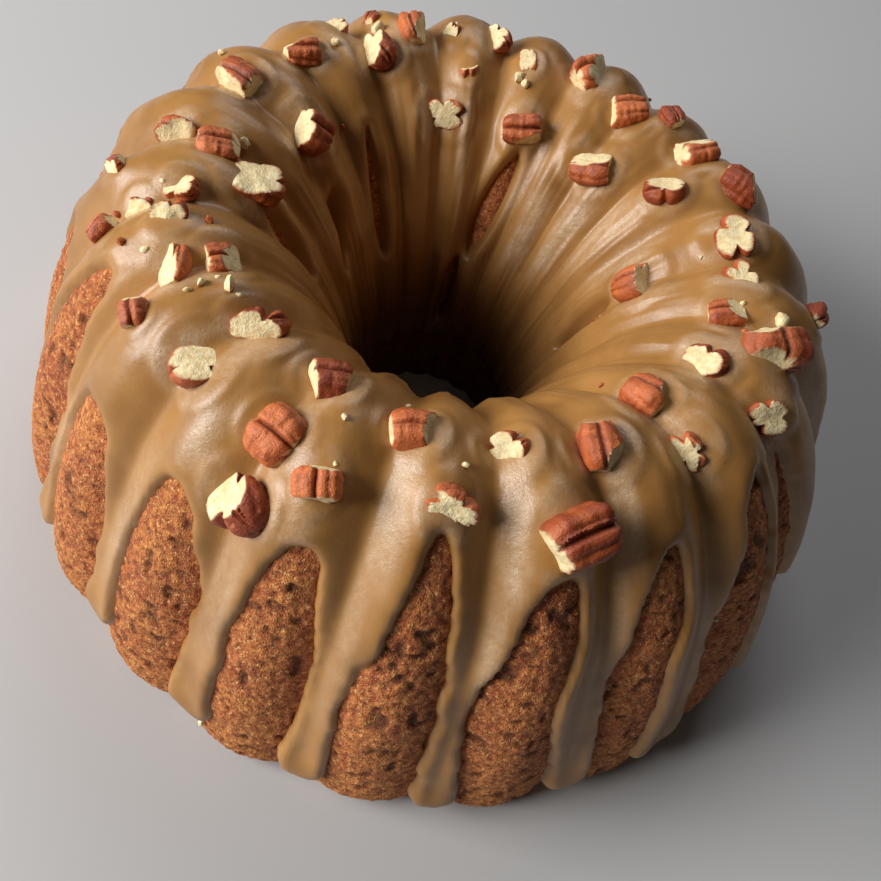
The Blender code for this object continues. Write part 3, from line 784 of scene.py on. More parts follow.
def crust_core(material, coarseness):
    """The closed ring under the walls and the icing: the crust's surface moved in by a little, its own
    crumb showing in the hole, with a flat underside; painted shade darkens it down the hole."""
    flutes = np.arange(FLUTES * CORE_COLUMNS)[None, :] / CORE_COLUMNS
    arcs = np.linspace(FIRST_ARC, LAST_ARC, CORE_ROWS)[:, None]
    flutes, arcs = np.broadcast_arrays(flutes, arcs)
    points = fluted_point(flutes, arcs)
    hole = smooth_step((HOLE_FROM - arcs) / HOLE_RUN)
    relief, pit = crumb_relief(points, coarseness)
    inward = CORE_DROP * (1.0 - hole) + relief * hole
    full = np.clip(np.minimum(arcs - FIRST_ARC, LAST_ARC - arcs) / END_RUN, 0.0, 1.0)
    points = points - surface_normal(flutes, arcs) * (inward * full)[..., None]
    squeeze = np.where(arcs > 0.0, 1.0 - CORE_DROP / OUTER_RADIUS * (1.0 - full), 1.0)
    points[..., :2] *= squeeze[..., None]
    points[..., 2] = np.maximum(points[..., 2], FLOOR_GAP)
    points[0, :, 2] = points[-1, :, 2] = FLOOR_GAP
    columns = flutes.shape[1]
    last, column = (CORE_ROWS - 1) * columns, np.arange(columns)
    beside = (column + 1) % columns
    under = np.stack([last + column, column, beside, last + beside], -1)
    faces = np.concatenate([quads(CORE_ROWS, columns, closed=True).reshape(-1, 4), under])
    clouds = CORE_CLOUD * smooth_noise(points, CORE_CLOUD_SIZE, TOAST_SEED)
    toast = np.clip(CORE_TOAST + clouds, 0.0, 1.0)
    # Painted shade: the core darkens down the hole, laid in through the pits' dark colour.
    shade = smooth_step((SHADE_FROM - arcs) / SHADE_RUN)
    values = {"pit": np.maximum(pit * CORE_PITS, shade).ravel(), "toast": toast.ravel()}
    return add_piece("crust_core", points.reshape(-1, 3), faces, material, values, ("cake",))


# Icing.
ICING_COLUMNS = 30          # columns to a flute
ICING_ROWS = 184
ICING_FIRST = -0.106        # arcs of the grid's first and last row
ICING_LAST = 0.1195
VALLEY_FILL = 0.0023        # extra thickness in the bottom of a valley
COVER_UNEVEN = 0.12         # how uneven the cover is, over what size, with its seed
COVER_SIZE = 0.013
COVER_SEED = 41
BULB_RUN = 0.005            # how far a drip's bulb reaches, and how far its top is above the end
BEAD_RUN = 0.0024           # width of the rounded edge
LIP_HEIGHT = 0.00025        # a low swelling just inside the edge: height, place and half width
LIP_PLACE = 0.0032
LIP_RUN = 0.0016
UNDER_SLOPE = 1.6           # how steeply it dives past the edge, how deep, and how far it is kept
DEEPEST = -0.0026
EDGE_KEPT = -0.0015
# Runs of the pour: cells to a radian and length of a cell; how much finer and how strong the second
# ones are, both seeds, and their height, what the hole adds to it, and from where and over what run.
FLOW_ROUND = 22.0
FLOW_LENGTH = 0.026
FLOW_FINER = (2.3, 2.3, 1.5)
FINER_SHARE = 0.5
FLOW_SEEDS = (47, 53)
FLOW_HEIGHT = 0.00012
FLOW_IN_HOLE = 0.00030
FLOW_FROM = -0.012
FLOW_RUN = 0.02
RIPPLE_HEIGHT = 0.00018
RIPPLE_SIZE = 0.006
RIPPLE_SEED = 43
POOL_HEIGHT = 0.0007        # how high the icing stands round a pecan
POOL_REACH = 0.42           # where that begins to fall off, in diagonals of the piece, and its run
POOL_RUN = 0.0013
NUT_RIM = 0.6               # how pale that rim is
RIM_SIZE = 0.005
RIM_SEED = 71
# The streaks of the pale patches and rims: least, what runs and what specks add; and the painted shade
# that darkens the icing down the hole.
PALE_ROUND = 36.0
PALE_LENGTH = 0.016
PALE_BASE = 0.72
PALE_RUNS = 0.45
PALE_SPECKS = 0.25
SPECK_SIZE = 0.0022
PALE_SEEDS = (61, 67)
PAINTED_HOLE_SHADE = 0.85
DEEP_FROM = -0.048
DEEP_RUN = 0.045


def nut_places():
    """Name and points of every pecan node, in the order of their names."""
    places = []
    for name in sorted(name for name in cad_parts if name.startswith("pecan_")):
        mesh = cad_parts[name].data
        points = np.empty(len(mesh.vertices) * 3)
        mesh.vertices.foreach_get("co", points)
        places.append((name, points.reshape(-1, 3)))
    return places


def flow_places(flutes, arcs, around, length):
    """Places for noise drawn out down the cake: a circle whose radius is the cells to a radian, and
    the arc over the length of a cell."""
    azimuth = 2.0 * math.pi * flutes / FLUTES
    return np.stack([np.cos(azimuth) * around, np.sin(azimuth) * around, arcs / length], -1)


def icing_cover(flutes, arcs, points, settings):
    """Full thickness of the icing: even on the ridges, filling the valleys as a hyperbola does, and
    with a bulb, a bell curve both ways, at the end of every drip."""
    above_valley = flute_depth(arcs) * ridge_share(flutes)
    cover = settings.cover + np.hypot(above_valley, VALLEY_FILL) - above_valley
    cover = cover * (1.0 + COVER_UNEVEN * smooth_noise(points, COVER_SIZE, COVER_SEED))
    nearest = np.round(flutes).astype(int)
    end = DRIP_ENDS[nearest % FLUTES]
    aside = (flutes - nearest) * flute_width(arcs)
    above = arcs - end + BULB_RUN
    return cover + settings.bulb * np.exp(-(above / BULB_RUN) ** 2 - (aside / BULB_RUN) ** 2)


def icing_offset(flutes, arcs, points, depth, settings):
    """Height of the icing over the crust.

    Towards the edge the full cover falls in a quarter circle, inside a low lip, and past the edge
    the icing dives under the crust; the runs of the pour and ripples lie on top."""
    share = np.clip(depth / BEAD_RUN, 0.0, 1.0)
    bead = np.sqrt(1.0 - (1.0 - share) ** 2)
    lip = LIP_HEIGHT * np.exp(-((depth - LIP_PLACE) / LIP_RUN) ** 2)
    sunk = np.maximum(np.minimum(depth, 0.0) * UNDER_SLOPE, DEEPEST)
    flow = flow_places(flutes, arcs, FLOW_ROUND, FLOW_LENGTH)
    wide, fine = FLOW_SEEDS
    finer = smooth_noise(flow * np.array(FLOW_FINER), 1.0, fine)
    runs = smooth_noise(flow, 1.0, wide) + FINER_SHARE * finer
    runs = runs * (FLOW_HEIGHT + FLOW_IN_HOLE * smooth_step((FLOW_FROM - arcs) / FLOW_RUN))
    ripple = RIPPLE_HEIGHT * smooth_noise(points, RIPPLE_SIZE, RIPPLE_SEED)
    cover = icing_cover(flutes, arcs, points, settings)
    return cover * bead + lip + sunk + (ripple + runs) * share


def pooled(points, places):
    """How high the icing creeps up round each pecan: level out to the piece, and past it falling
    off in a bell curve."""
    lift = np.zeros(points.shape[:-1])
    for _, corners in places:
        reach = POOL_REACH * np.linalg.norm(corners.max(0) - corners.min(0))
        away = np.maximum(np.linalg.norm(points - corners.mean(0), axis=-1) - reach, 0.0)
        lift = np.maximum(lift, POOL_HEIGHT * np.exp(-(away / POOL_RUN) ** 2))
    return lift


def sheen_share(flutes, arcs):
    """Strength of the painted sheen in pale patches: the largest of a set of rounded spots, each falling
    off with the fourth powers of the distances aside and along."""
    strength = np.zeros(np.broadcast(flutes, arcs).shape)
    for place, arc, half, length, share in SHEEN_PATCHES:
        aside = round_gap(flutes, place) / half
        spot = np.exp(-aside ** 4 - ((arcs - arc * MM) / (length * MM)) ** 4)
        strength = np.maximum(strength, share * spot)
    return strength


def pale_streaks(flutes, arcs, points):
    """Runs and specks of the pale patches and rims: a share plus noise drawn out down the cake, plus fine
    noise.
    """
    runs, specks = PALE_SEEDS
    flow = flow_places(flutes, arcs, PALE_ROUND, PALE_LENGTH)
    streaks = PALE_BASE + PALE_RUNS * smooth_noise(flow, 1.0, runs)
    return streaks + PALE_SPECKS * smooth_noise(points, SPECK_SIZE, specks)


def make_icing(material, settings):
    """The icing: the crust's surface raised by the icing's height and the pools round the pecans,
    kept where it is inside its edge or just past it."""
    flutes = np.arange(FLUTES * ICING_COLUMNS)[None, :] / ICING_COLUMNS
    arcs = np.linspace(ICING_FIRST, ICING_LAST, ICING_ROWS)[:, None]
    flutes, arcs = np.broadcast_arrays(flutes, arcs)
    points = fluted_point(flutes, arcs)
    depth = icing_depth(flutes, arcs)
    offset = icing_offset(flutes, arcs, points, depth, settings)
    lift = pooled(points, nut_places()) * np.clip(depth / BEAD_RUN, 0.0, 1.0)
    surface = fluted_point(flutes, arcs, offset + lift)
    wet = depth > EDGE_KEPT
    keep = cells_with(np.concatenate([wet, wet[:, :1]], axis=1))
    cells = quads(*surface.shape[:2], closed=True)[keep]
    # Painted shade: darker down in the hole, where little light reaches.
    thin = PAINTED_HOLE_SHADE * smooth_step((DEEP_FROM - arcs) / DEEP_RUN)
    patchy = smooth_step(0.5 + smooth_noise(points, RIM_SIZE, RIM_SEED))
    rims = NUT_RIM * lift / POOL_HEIGHT * patchy
    # Painted sheen in pale patches, and pale rims round the pecans, both streaked.
    bloom = np.maximum(sheen_share(flutes, arcs), rims) * pale_streaks(flutes, arcs, points)
    values = {"bloom": np.clip(bloom, 0.0, 1.0).ravel(), "thin": thin.ravel()}
    points, faces, values = used_only(surface.reshape(-1, 3), cells, values)
    return add_piece("caramel_icing", points, faces, material, values, ("icing",))


# Pecans.
NUT_RINGS = 36
NUT_SPOKES = 84
NUT_POWER = 3.0             # how square a piece is, and the same for a lobed one
LOBED_POWER = 2.2
NUT_SHARP = 45              # edges over this angle stay hard
RAY_REACH = 3.5             # how far a ray looks for the surface, in sizes, and its halvings
HALVINGS = 13
# Grooves along a pecan's back: angle round the grain from the top, width and depth; then the least
# and most of what is drawn for the depth of any groove and of the first, and a groove's shift.
GROOVES = ((0, 9, .26), (-40, 6, .10), (43, 6, .11), (-78, 8, .10), (80, 8, .10), (118, 9, .10),
           (-115, 9, .10), (180, 12, .12))
GROOVE_SPREAD = (0.35, 1.25)
FIRST_SPREAD = (0.8, 1.15)
GROOVE_SHIFT = 16.0
GROOVE_WANDER = 10.0        # how far a groove wanders, in degrees, and over how many sizes
WANDER_SIZE = 0.9
GROOVE_FREE = 0.5           # distance from the grain's axis, in sizes, where grooves are full
# Wrinkles along the grain: cells to a radian, and depth.  Those across it: cells to a radian as a
# share of the first, cells to a size, depth, and what their seed adds.
STREAK_ROUND = 2.6
STREAK_DEPTH = 0.045
CROSS_ROUND = 0.6
CROSS_ALONG = 5.0
CROSS_DEPTH = 0.05
CROSS_SEED = 5
NOTCH_WIDTH = 14.0          # width in degrees and depth of a notch between lobes of the face
NOTCH_DEPTH = 0.46
NOTCH_DEPTHS = (0.8, 1.15)  # least and most that is drawn of that depth, and of the spacing
NOTCH_SPACES = (0.85, 1.1)
NOTCH_FREE = 0.62           # distance from the face's middle, in sizes, where notches are full
END_CUT = 0.84              # where a piece is broken across its grain, as a share of its half length
END_CUTS = (0.9, 1.05)      # least and most that is drawn of it, and how far the break leans
END_LEAN = 0.22
ORIGIN_SHARE = 0.42         # how far the rays' origin is moved away from the face
# Roughness of a break: depth, size and seed of each noise, in sizes.
BREAK_ROUGH = ((0.13, 0.8, 31), (0.012, 0.2, 37))
SKIN_EDGE = 0.06            # thickness of the skin seen round a break, as a share of the size
TONE_STREAKS = 0.4          # how much wrinkles lighten the skin, and what is drawn for a piece
TONE_CROSS = 0.3
TONE_DRAW = (-0.5, 0.4)
GROOVE_DARK = 4.0           # how fast a groove darkens with its depth, and what is left light
GROOVE_LIGHT = 0.1


def compass(direction, rise):
    """A unit vector from a compass direction and a rise above the horizon, in degrees."""
    flat, up = math.radians(direction), math.radians(rise)
    return np.array([math.cos(flat) * math.cos(up), math.sin(flat) * math.cos(up), math.sin(up)])


def front_axes():
    """Right, up and toward, as the cake is seen from its front."""
    tilt, roll = CAMERA_TILT, CAMERA_ROLL
    toward = np.array([0.0, -math.cos(tilt), math.sin(tilt)])
    level, rising = np.array([1.0, 0.0, 0.0]), np.array([0.0, math.sin(tilt), math.cos(tilt)])
    right = math.cos(roll) * level + math.sin(roll) * rising
    return right, math.cos(roll) * rising - math.sin(roll) * level, toward


def seat_normal(middle):
    """Normal of the crown at a place: the profile's normal at the point nearest to it."""
    radius, height = math.hypot(middle[0], middle[1]), middle[2]
    crown = np.abs(ARC) < CROWN_HALF
    nearest = np.argmin(np.hypot(RADIUS[crown] - radius, RISE[crown] - height))
    run = np.gradient(RADIUS[crown])[nearest]
    rise = np.gradient(RISE[crown])[nearest]
    out, up = -rise / math.hypot(run, rise), run / math.hypot(run, rise)
    return np.array([out * middle[0] / radius, out * middle[1] / radius, up])


def laid(vector, normal):
    """A compass vector turned by the smallest turn that brings the vertical to the normal."""
    turn = Vector((0.0, 0.0, 1.0)).rotation_difference(Vector(normal))
    return np.array(turn @ Vector(vector))


def ray_grid(rings, spokes, axes):
    """Directions on a sphere: a pole, rings of even polar angle, and the other pole."""
    polar = (np.arange(rings) + 0.5) / rings * math.pi
    spoke = np.arange(spokes) / spokes * 2.0 * math.pi
    polar, spoke = np.meshgrid(polar, spoke, indexing="ij")
    local = np.stack([np.sin(polar) * np.cos(spoke), np.sin(polar) * np.sin(spoke), np.cos(polar)], -1)
    ways = local.reshape(-1, 3) @ axes
    return np.concatenate([axes[2:3], ways, -axes[2:3]])


def bell(angle, middle, width):
    """A bell curve of the angle, in degrees, from its middle, the shorter way round."""
    gap = np.mod(angle - middle + 180.0, 360.0) - 180.0
    return np.exp(-(gap / width) ** 2)


class Pecan:
    """One broken pecan, as fields over places round its middle: each is 1 on its own surface and
    less inside.  The skin is a rounded box with grooves along the grain; each break is a rough
    plane; the piece is what lies inside them all."""

    def __init__(self, corners, look, seed, sink):
        grain_way, tilt, clock, facing, depth, notches, first_notch = look
        self.seed, self.draw = seed, np.random.default_rng(seed)
        self.lobed = notches > 0
        normal = self.set_box(corners, grain_way, sink)
        grain_axis = laid(compass(grain_way, tilt), normal)
        self.set_grain(grain_axis, normal)
        self.set_face(clock, facing)
        self.set_notches(notches, first_notch)
        self.set_breaks(grain_axis, depth)

    def set_box(self, corners, grain_way, sink):
        """The box along the grain that holds the solid, let down a little into the icing; gives the
        normal of the seat."""
        middle = (corners.min(0) + corners.max(0)) / 2
        normal = seat_normal(middle)
        along = laid(compass(grain_way, 0), normal)
        self.axes = np.stack([along, np.cross(normal, along), normal])
        local = (corners - middle) @ self.axes.T
        low, high = local.min(0), local.max(0)
        self.middle = middle + self.axes.T @ ((low + high) / 2) - normal * sink / 2
        self.half = (high - low) / 2 + np.array([0.0, 0.0, sink / 2])
        self.size = float(self.half.mean())
        return normal

    def set_grain(self, grain_axis, normal):
        """The grain's own axes, and how deep and how far round each groove is."""
        side = np.cross(normal, grain_axis)
        side /= np.linalg.norm(side)
        self.frame = np.stack([grain_axis, side, np.cross(grain_axis, side)])
        self.spreads = self.draw.uniform(*GROOVE_SPREAD, len(GROOVES))
        self.spreads[0] = self.draw.uniform(*FIRST_SPREAD)
        self.shifts = self.draw.uniform(-GROOVE_SHIFT, GROOVE_SHIFT, len(GROOVES))

    def set_face(self, clock, facing):
        """The direction of the broken face, from its clock angle and how squarely it faces the
        front, and the face's own up and right."""
        right, up, toward = front_axes()
        clock, facing = math.radians(clock), math.radians(facing)
        aside = right * math.cos(clock) + up * math.sin(clock)
        self.face = aside * math.cos(facing) + toward * math.sin(facing)
        self.face_up = up - self.face * (up @ self.face)
        self.face_up /= np.linalg.norm(self.face_up)
        self.face_right = np.cross(self.face_up, self.face)

    def set_notches(self, count, first):
        """Clock angles of the notches, a little unevenly spaced from the first, and their depths."""
        spacing = 360.0 / max(count, 2)
        self.notch_angles = [first + number * spacing * self.draw.uniform(*NOTCH_SPACES)
                             for number in range(count)]
        self.notch_depths = self.draw.uniform(*NOTCH_DEPTHS, count) * NOTCH_DEPTH

    def set_breaks(self, grain_axis, depth):
        """Direction and depth of each break: the face, and both ends of a piece with no lobes.  The
        rays start on the far side of the middle from the face."""
        self.breaks = [(self.face, depth)]
        if not self.lobed:
            for sign in (-1, 1):
                end = sign * grain_axis + END_LEAN * self.draw.uniform(-1, 1, 3)
                share = END_CUT * self.draw.uniform(*END_CUTS)
                self.breaks.append((end / np.linalg.norm(end), share))
        self.origin = self.face * ORIGIN_SHARE * self.support(self.face) * (depth - 1.0)

    def support(self, way):
        """How far the ellipsoid with the box's half sizes reaches in a direction: the length of the
        direction once each part is stretched by its half size."""
        return float(np.sqrt(((self.axes @ way * self.half) ** 2).sum()))

    def grooves(self, places):
        """Depth of the grooves, the deepest of their bell curves round the grain, and wrinkles
        along and across it, at each place."""
        length, aside, above = (places @ self.frame.T / self.size).T
        around = np.degrees(np.arctan2(aside, above))
        away = smooth_step(np.hypot(aside, above) / GROOVE_FREE)
        wander = GROOVE_WANDER * smooth_noise(places / self.size, WANDER_SIZE, self.seed)
        groove = np.zeros(len(places))
        for (angle, width, share), shift, spread in zip(GROOVES, self.shifts, self.spreads):
            groove = np.maximum(groove, share * spread * bell(around - wander, angle + shift, width))
        ring = np.stack([np.cos(np.radians(around)), np.sin(np.radians(around))], -1) * STREAK_ROUND
        along = length[:, None]
        streaks = smooth_noise(np.concatenate([ring, along], -1), 1.0, self.seed)
        banded = np.concatenate([ring * CROSS_ROUND, along * CROSS_ALONG], -1)
        cross = smooth_noise(banded, 1.0, self.seed + CROSS_SEED)
        return groove * away, streaks * away, cross * away

    def skin(self, places):
        """The rounded box, a sum of powers of the shares of its half sizes, made smaller by the
        grooves, the wrinkles and the notches."""
        groove, streaks, cross = self.grooves(places)
        power = LOBED_POWER if self.lobed else NUT_POWER
        box = ((np.abs(places @ self.axes.T) / self.half) ** power).sum(-1) ** (1.0 / power)
        inward = groove + STREAK_DEPTH * streaks + CROSS_DEPTH * cross
        across, along = places @ self.face_right, places @ self.face_up
        turn = np.degrees(np.arctan2(along, across))
        away = smooth_step(np.hypot(along, across) / (NOTCH_FREE * self.size))
        for angle, depth in zip(self.notch_angles, self.notch_depths):
            inward = np.maximum(inward, depth * away * bell(turn, angle, NOTCH_WIDTH))
        return box / (1.0 - inward)

    def broken(self, places):
        """The largest of the breaks' fields, each 1 plus the distance past its plane in sizes, plus
        the roughness of the breaks."""
        rough = np.zeros(len(places))
        for depth, size, seed in BREAK_ROUGH:
            rough += depth * smooth_noise(places / self.size, size, self.seed + seed)
        cuts = [(places @ way - share * self.support(way)) / self.size for way, share in self.breaks]
        return np.max(cuts, axis=0) + 1.0 + rough

    def surface(self):
        """Points where rays from inside the piece leave it, found by halving, and their values."""
        ways = ray_grid(NUT_RINGS, NUT_SPOKES, self.axes)
        near, far = np.zeros(len(ways)), np.full(len(ways), RAY_REACH * self.size)
        for _ in range(HALVINGS):
            reach = (near + far) / 2
            places = self.origin + ways * reach[:, None]
            outside = np.maximum(self.skin(places), self.broken(places)) > 1.0
            near, far = np.where(outside, near, reach), np.where(outside, reach, far)
        places = self.origin + ways * near[:, None]
        groove, streaks, cross = self.grooves(places)
        flesh = np.clip((self.broken(places) - self.skin(places)) / SKIN_EDGE, 0.0, 1.0)
        tone = 0.5 + TONE_STREAKS * streaks + TONE_CROSS * cross + self.draw.uniform(*TONE_DRAW)
        dark = np.clip(groove * GROOVE_DARK - GROOVE_LIGHT, 0.0, 1.0) * (1.0 - flesh)
        return self.middle + places, {"flesh": flesh, "groove": dark, "tone": np.clip(tone, 0.0, 1.0)}


def ball_faces(rings, spokes):
    """Quads between the rings of directions, and a fan at each pole."""
    sides = quads(rings, spokes, closed=True).reshape(-1, 4) + 1
    spoke = np.arange(spokes)
    beside = (spoke + 1) % spokes
    top = np.stack([np.zeros_like(spoke), spoke + 1, beside + 1], -1)
    last = 1 + (rings - 1) * spokes
    bottom = np.stack([np.full_like(spoke, last + spokes), last + beside, last + spoke], -1)
    return sides.tolist() + top.tolist() + bottom.tolist()


# Loose crumbs: their grid, their half sizes as shares of the size, and their lumps, breaks and tones,
# where a pair is the least and the most that is drawn.
CRUMB_RINGS = 7
CRUMB_SPOKES = 11
CRUMB_HALVES = (0.55, 0.42, 0.36)
CRUMB_UNEVEN = (0.75, 1.15)
CRUMB_LUMPS = 0.22
CRUMB_LUMP_SIZE = 0.625
CRUMB_BREAKS = 3
CRUMB_CUTS = (0.45, 0.8)
CRUMB_TONES = (0.3, 1.0)
CRUMB_LIFT = 0.22           # height of a crumb's middle over the icing, as a share of its size
CRUMB_SHARP = 40            # edges over this angle stay hard
FIRST_CRUMB_SEED = 100
LEAST_ALIGNED = 0.05        # rays that point less than this way towards a break don't meet it


def crumb_reach(ways, size, draw, seed):
    """How far a crumb reaches along each direction: an ellipsoid in a drawn turn, made uneven by
    noise and cut by flat breaks."""
    halves = draw.uniform(*CRUMB_UNEVEN, 3) * np.array(CRUMB_HALVES) * size
    turn = np.linalg.qr(draw.normal(size=(3, 3)))[0]
    reach = 1.0 / np.sqrt((((ways @ turn) / halves) ** 2).sum(-1))
    reach *= 1.0 + CRUMB_LUMPS * smooth_noise(ways, CRUMB_LUMP_SIZE, seed)
    for _ in range(CRUMB_BREAKS):
        way = draw.normal(size=3)
        way /= np.linalg.norm(way)
        aligned = ways @ way
        cut = draw.uniform(*CRUMB_CUTS) * halves.mean() / np.maximum(aligned, LEAST_ALIGNED)
        reach = np.where(aligned > LEAST_ALIGNED, np.minimum(reach, cut), reach)
    return reach


def make_crumbs(material, settings):
    """Loose crumbs as one mesh: small uneven balls with flat breaks, their lower parts sunk in the
    icing."""
    ball = ball_faces(CRUMB_RINGS, CRUMB_SPOKES)
    ways = ray_grid(CRUMB_RINGS, CRUMB_SPOKES, np.eye(3))
    points, faces, flesh, tone = [], [], [], []
    for seed, (place, arc, size, pale) in enumerate(CRUMBS):
        draw = np.random.default_rng(FIRST_CRUMB_SEED + seed)
        arcs, flutes = np.array([arc * MM]), np.array([place])
        depth = np.maximum(icing_depth(flutes, arcs), 0.0)
        cover = icing_offset(flutes, arcs, fluted_point(flutes, arcs), depth, settings)
        middle = fluted_point(flutes, arcs, cover + CRUMB_LIFT * size * MM)[0]
        start = seed * len(ways)
        points.append(middle + ways * crumb_reach(ways, size * MM, draw, seed)[:, None])
        faces += [[start + corner for corner in face] for face in ball]
        flesh.append(np.full(len(ways), float(pale)))
        tone.append(np.full(len(ways), draw.uniform(*CRUMB_TONES)))
    flesh, tone = np.concatenate(flesh), np.concatenate(tone)
    values = {"flesh": flesh, "tone": tone, "groove": np.zeros_like(flesh)}
    return add_piece("pecan_crumbs", np.concatenate(points), faces, material, values,
                     sharp=CRUMB_SHARP)


# Settings, one group for each operator's looks.

def colour_property(name, text, shown):
    """A colour, its default given as display values of 0 to 255."""
    return bpy.props.FloatVectorProperty(name=name, description=text, subtype="COLOR", size=4,
                                         min=0.0, max=1.0, default=colour(*shown))


def length_property(name, text, default, most):
    """A length in metres from nothing to the most it may be."""
    return bpy.props.FloatProperty(name=name, description=text, default=default, min=0.0, max=most,
                                   precision=4, unit="LENGTH")


def light_property(name, text, default):
    """The strength of a light in watts."""
    return bpy.props.FloatProperty(name=name, description=text, default=default, min=0.0,
                                   unit="POWER")


class CrustSettings(bpy.types.PropertyGroup):
    coarseness: bpy.props.FloatProperty(name="Coarseness", description="Depth of the crumb's grains "
                                        "and pits, as a share of the usual depth", default=1.0,
                                        min=0.0, max=2.0, subtype="FACTOR")
    crumb: colour_property("Crumb", "Colour of the crust's grains", (208, 122, 71))
    deep: colour_property("Deep Crumb", "Colour between the larger grains", (148, 64, 36))
    tips: colour_property("Toasted Tips", "Colour of the toasted parts", (242, 160, 84))
    glint: colour_property("Golden Grains", "Colour of the finest bright grains", (255, 206, 132))
    # Also the colour of the painted shade on the core down the hole.
    pores_and_shade: colour_property("Pores And Shade", "Colour of the pits", (66, 28, 16))


class IcingSettings(bpy.types.PropertyGroup):
    cover: length_property("Cover", "Thickness of the icing on the ridges", 0.0015, 0.003)
    bulb: length_property("Drip Bulb", "Extra thickness at the end of every drip", 0.0020, 0.004)
    caramel: colour_property("Caramel", "Main colour of the icing", (177, 128, 71))
    amber: colour_property("Amber", "Colour of its deeper clouds", (150, 105, 54))
    # Painted sheen: the pale colour laid where the icing reflects the light, and on the rims round the
    # pecans.
    bloom: colour_property("Sheen And Rims", "Colour of the pale sugary patches", (230, 206, 178))
    # Painted shade: the dark colour that the icing takes down in the hole.
    thin: colour_property("Deep Icing", "Colour of the icing down in the hole", (64, 36, 18))


class NutSettings(bpy.types.PropertyGroup):
    sink: length_property("Sink", "How far each piece is let down into the icing", 0.0006, 0.002)
    skin_light: colour_property("Light Skin", "Colour of the skin's raised streaks", (222, 122, 66))
    skin_dark: colour_property("Dark Skin", "Colour of the skin's darker streaks", (148, 64, 34))
    groove: colour_property("Grooves", "Colour down in the grooves", (84, 30, 18))
    flesh: colour_property("Flesh", "Colour of the broken faces", (255, 240, 196))
    flesh_dark: colour_property("Flesh Shade", "Colour of their darker specks", (238, 208, 150))


class StageSettings(bpy.types.PropertyGroup):
    floor: colour_property("Floor", "Colour of the floor", (200, 200, 202))
    key: light_property("Main Light", "Strength of the large light at the left", 20.0)
    back: light_property("Back Light", "Strength of the soft light behind", 4.1)


class CAKE_OT_crust(bpy.types.Operator):
    """Build the crust: a closed core and two stretches of crumbly wall"""
    bl_idname = "cake.crust"
    bl_label = "Crust"

    def execute(self, context):
        settings = context.scene.cake_crust
        material = crust_material(settings)
        crust_core(material, settings.coarseness)
        first, last = WALL_SPLIT - FLUTES / 2, WALL_SPLIT + FLUTES / 2
        crust_wall("crust_front", first, WALL_SPLIT, material, settings.coarseness)
        crust_wall("crust_back", WALL_SPLIT, last, material, settings.coarseness)
        return {"FINISHED"}


class CAKE_OT_icing(bpy.types.Operator):
    """Build the caramel icing with a drip in every valley"""
    bl_idname = "cake.icing"
    bl_label = "Icing"

    def execute(self, context):
        settings = context.scene.cake_icing
        make_icing(icing_material(settings), settings)
        return {"FINISHED"}


class CAKE_OT_pecans(bpy.types.Operator):
    """Build the broken pecans, one over each pecan node, and their loose crumbs"""
    bl_idname = "cake.pecans"
    bl_label = "Pecans"

    def execute(self, context):
        places = nut_places()
        if len(places) != len(NUTS):
            raise RuntimeError("the pecan table and the pecan nodes differ in number")
        settings = context.scene.cake_nuts
        material = nut_material(settings)
        faces = ball_faces(NUT_RINGS, NUT_SPOKES)
        for seed, ((name, corners), look) in enumerate(zip(places, NUTS)):
            points, values = Pecan(corners, look, seed, settings.sink).surface()
            add_piece(f"{name}_piece", points, faces, material, values, (name,), NUT_SHARP)
        make_crumbs(material, context.scene.cake_icing)
        return {"FINISHED"}


# Stage.
FLOOR_HALF = 3.0            # half the floor's side, and its height, just under the cake
FLOOR_HEIGHT = -0.0002
FLOOR_ROUGH = 0.7
FLOOR_CELLS = 6.0           # cells to the metre of its unevenness, and how much of it shows
FLOOR_UNEVEN = 0.06
# The lights: setting with the strength, compass direction, rise and tint; then what they share.
LIGHTS = (("key", 204, 28, (1.0, 0.985, 0.95)), ("back", 94, 48, (1.0, 1.0, 1.0)))
LIGHT_AWAY = 1.2
LIGHT_SIZE = (0.8, 0.6)
LIGHT_TARGET = (0.0, 0.0, 0.05)
ROOM_TINT = (1.0, 0.96, 0.9, 1.0)
ROOM_STRENGTH = 0.03
CLIP_START = 0.01


def make_floor(tint):
    """A wide pale square, covered by a little of its own darker colour where noise is high."""
    material, shader, surface = new_material("Pale Floor", FLOOR_ROUGH)
    darker = shader.mix(shader.noise(shader.places(), FLOOR_CELLS), tint, tint, "MULTIPLY")
    shader.feed(surface.inputs["Base Color"], shader.mix(FLOOR_UNEVEN, tint, darker))
    corners = [(FLOOR_HALF * x, FLOOR_HALF * y, FLOOR_HEIGHT)
               for x, y in ((-1, -1), (1, -1), (1, 1), (-1, 1))]
    mesh = mesh_from("floor", corners, [(0, 1, 2, 3)])
    mesh.materials.append(material)
    floor = bpy.data.objects.new("floor", mesh)
    bpy.context.scene.collection.objects.link(floor)


def make_light(name, power, direction, rise, tint):
    """A large soft light in a compass direction from the cake, aimed at its middle."""
    data = bpy.data.lights.new(name, "AREA")
    data.shape = "RECTANGLE"
    data.size, data.size_y = LIGHT_SIZE
    data.energy = power
    data.color = tint
    light = bpy.data.objects.new(name, data)
    bpy.context.scene.collection.objects.link(light)
    away = Vector(LIGHT_AWAY * compass(direction, rise))
    turn = away.to_track_quat("Z", "Y").to_matrix().to_4x4()
    light.matrix_world = Matrix.Translation(Vector(LIGHT_TARGET) + away) @ turn


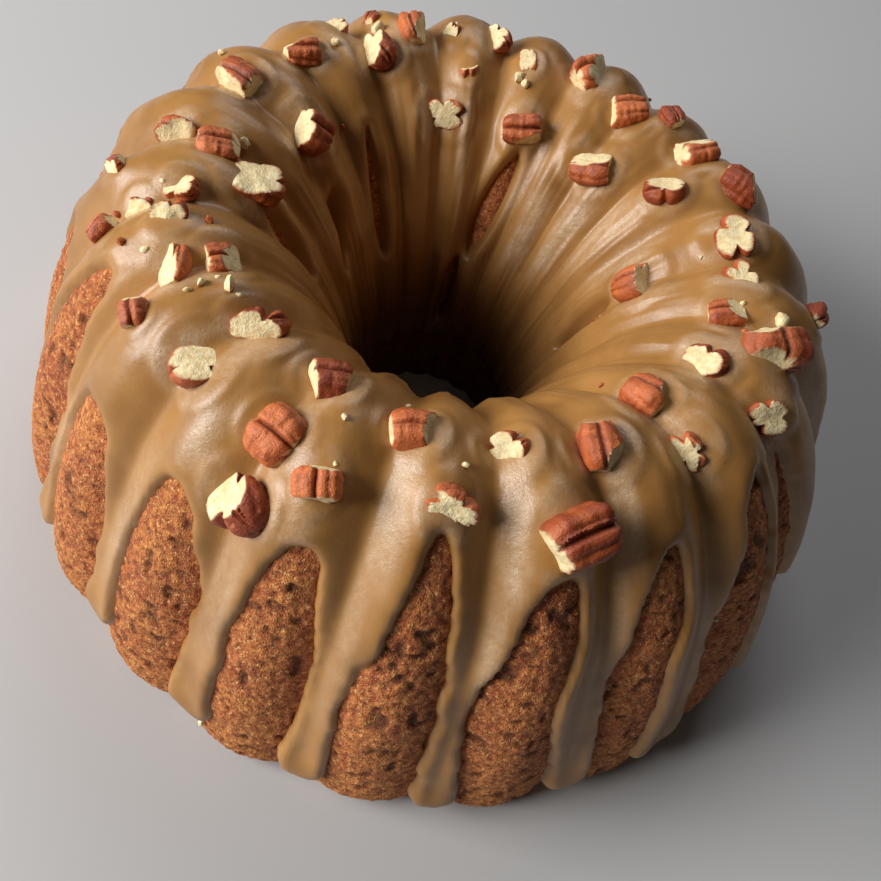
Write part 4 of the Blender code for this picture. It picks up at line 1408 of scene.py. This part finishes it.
def make_room():
    """An even, dim glow from all sides."""
    world = bpy.data.worlds.new("Soft Room")
    world.use_nodes = True
    backdrop = world.node_tree.nodes["Background"]
    backdrop.inputs["Color"].default_value = ROOM_TINT
    backdrop.inputs["Strength"].default_value = ROOM_STRENGTH
    bpy.context.scene.world = world
    bpy.context.scene.view_settings.view_transform = "Standard"


def make_camera():
    """The view from the front: its axes, set back from the place it looks at."""
    right, up, back = (Vector(axis) for axis in front_axes())
    data = bpy.data.cameras.new("camera")
    data.lens = LENS
    data.clip_start = CLIP_START
    camera = bpy.data.objects.new("camera", data)
    bpy.context.scene.collection.objects.link(camera)
    turn = Matrix((right, up, back)).transposed().to_4x4()
    camera.matrix_world = Matrix.Translation(Vector(CAMERA_AIM) + back * CAMERA_AWAY) @ turn
    bpy.context.scene.camera = camera


class CAKE_OT_stage(bpy.types.Operator):
    """Build the floor, the lights and the camera"""
    bl_idname = "cake.stage"
    bl_label = "Stage"

    def execute(self, context):
        settings = context.scene.cake_stage
        make_floor(settings.floor)
        for name, direction, rise, tint in LIGHTS:
            make_light(name, getattr(settings, name), direction, rise, tint)
        make_room()
        make_camera()
        return {"FINISHED"}


STEPS = ("crust", "icing", "pecans", "stage")


class CAKE_PT_panel(bpy.types.Panel):
    """Lists the steps that build the cake"""
    bl_label = "Fluted Cake"
    bl_idname = "CAKE_PT_panel"
    bl_space_type = "VIEW_3D"
    bl_region_type = "UI"
    bl_category = "Cake"

    def draw(self, context):
        for step in STEPS:
            self.layout.operator(f"cake.{step}")


SETTINGS = {"cake_crust": CrustSettings, "cake_icing": IcingSettings, "cake_nuts": NutSettings,
            "cake_stage": StageSettings}
CLASSES = (*SETTINGS.values(), CAKE_OT_crust, CAKE_OT_icing, CAKE_OT_pecans, CAKE_OT_stage,
           CAKE_PT_panel)


def register():
    for each in CLASSES:
        bpy.utils.register_class(each)
    for name, group in SETTINGS.items():
        setattr(bpy.types.Scene, name, bpy.props.PointerProperty(type=group))


def unregister():
    for name in SETTINGS:
        delattr(bpy.types.Scene, name)
    for each in reversed(CLASSES):
        bpy.utils.unregister_class(each)


def main():
    register()
    for step in STEPS:
        getattr(bpy.ops.cake, step)()


if __name__ == "__main__":
    main()
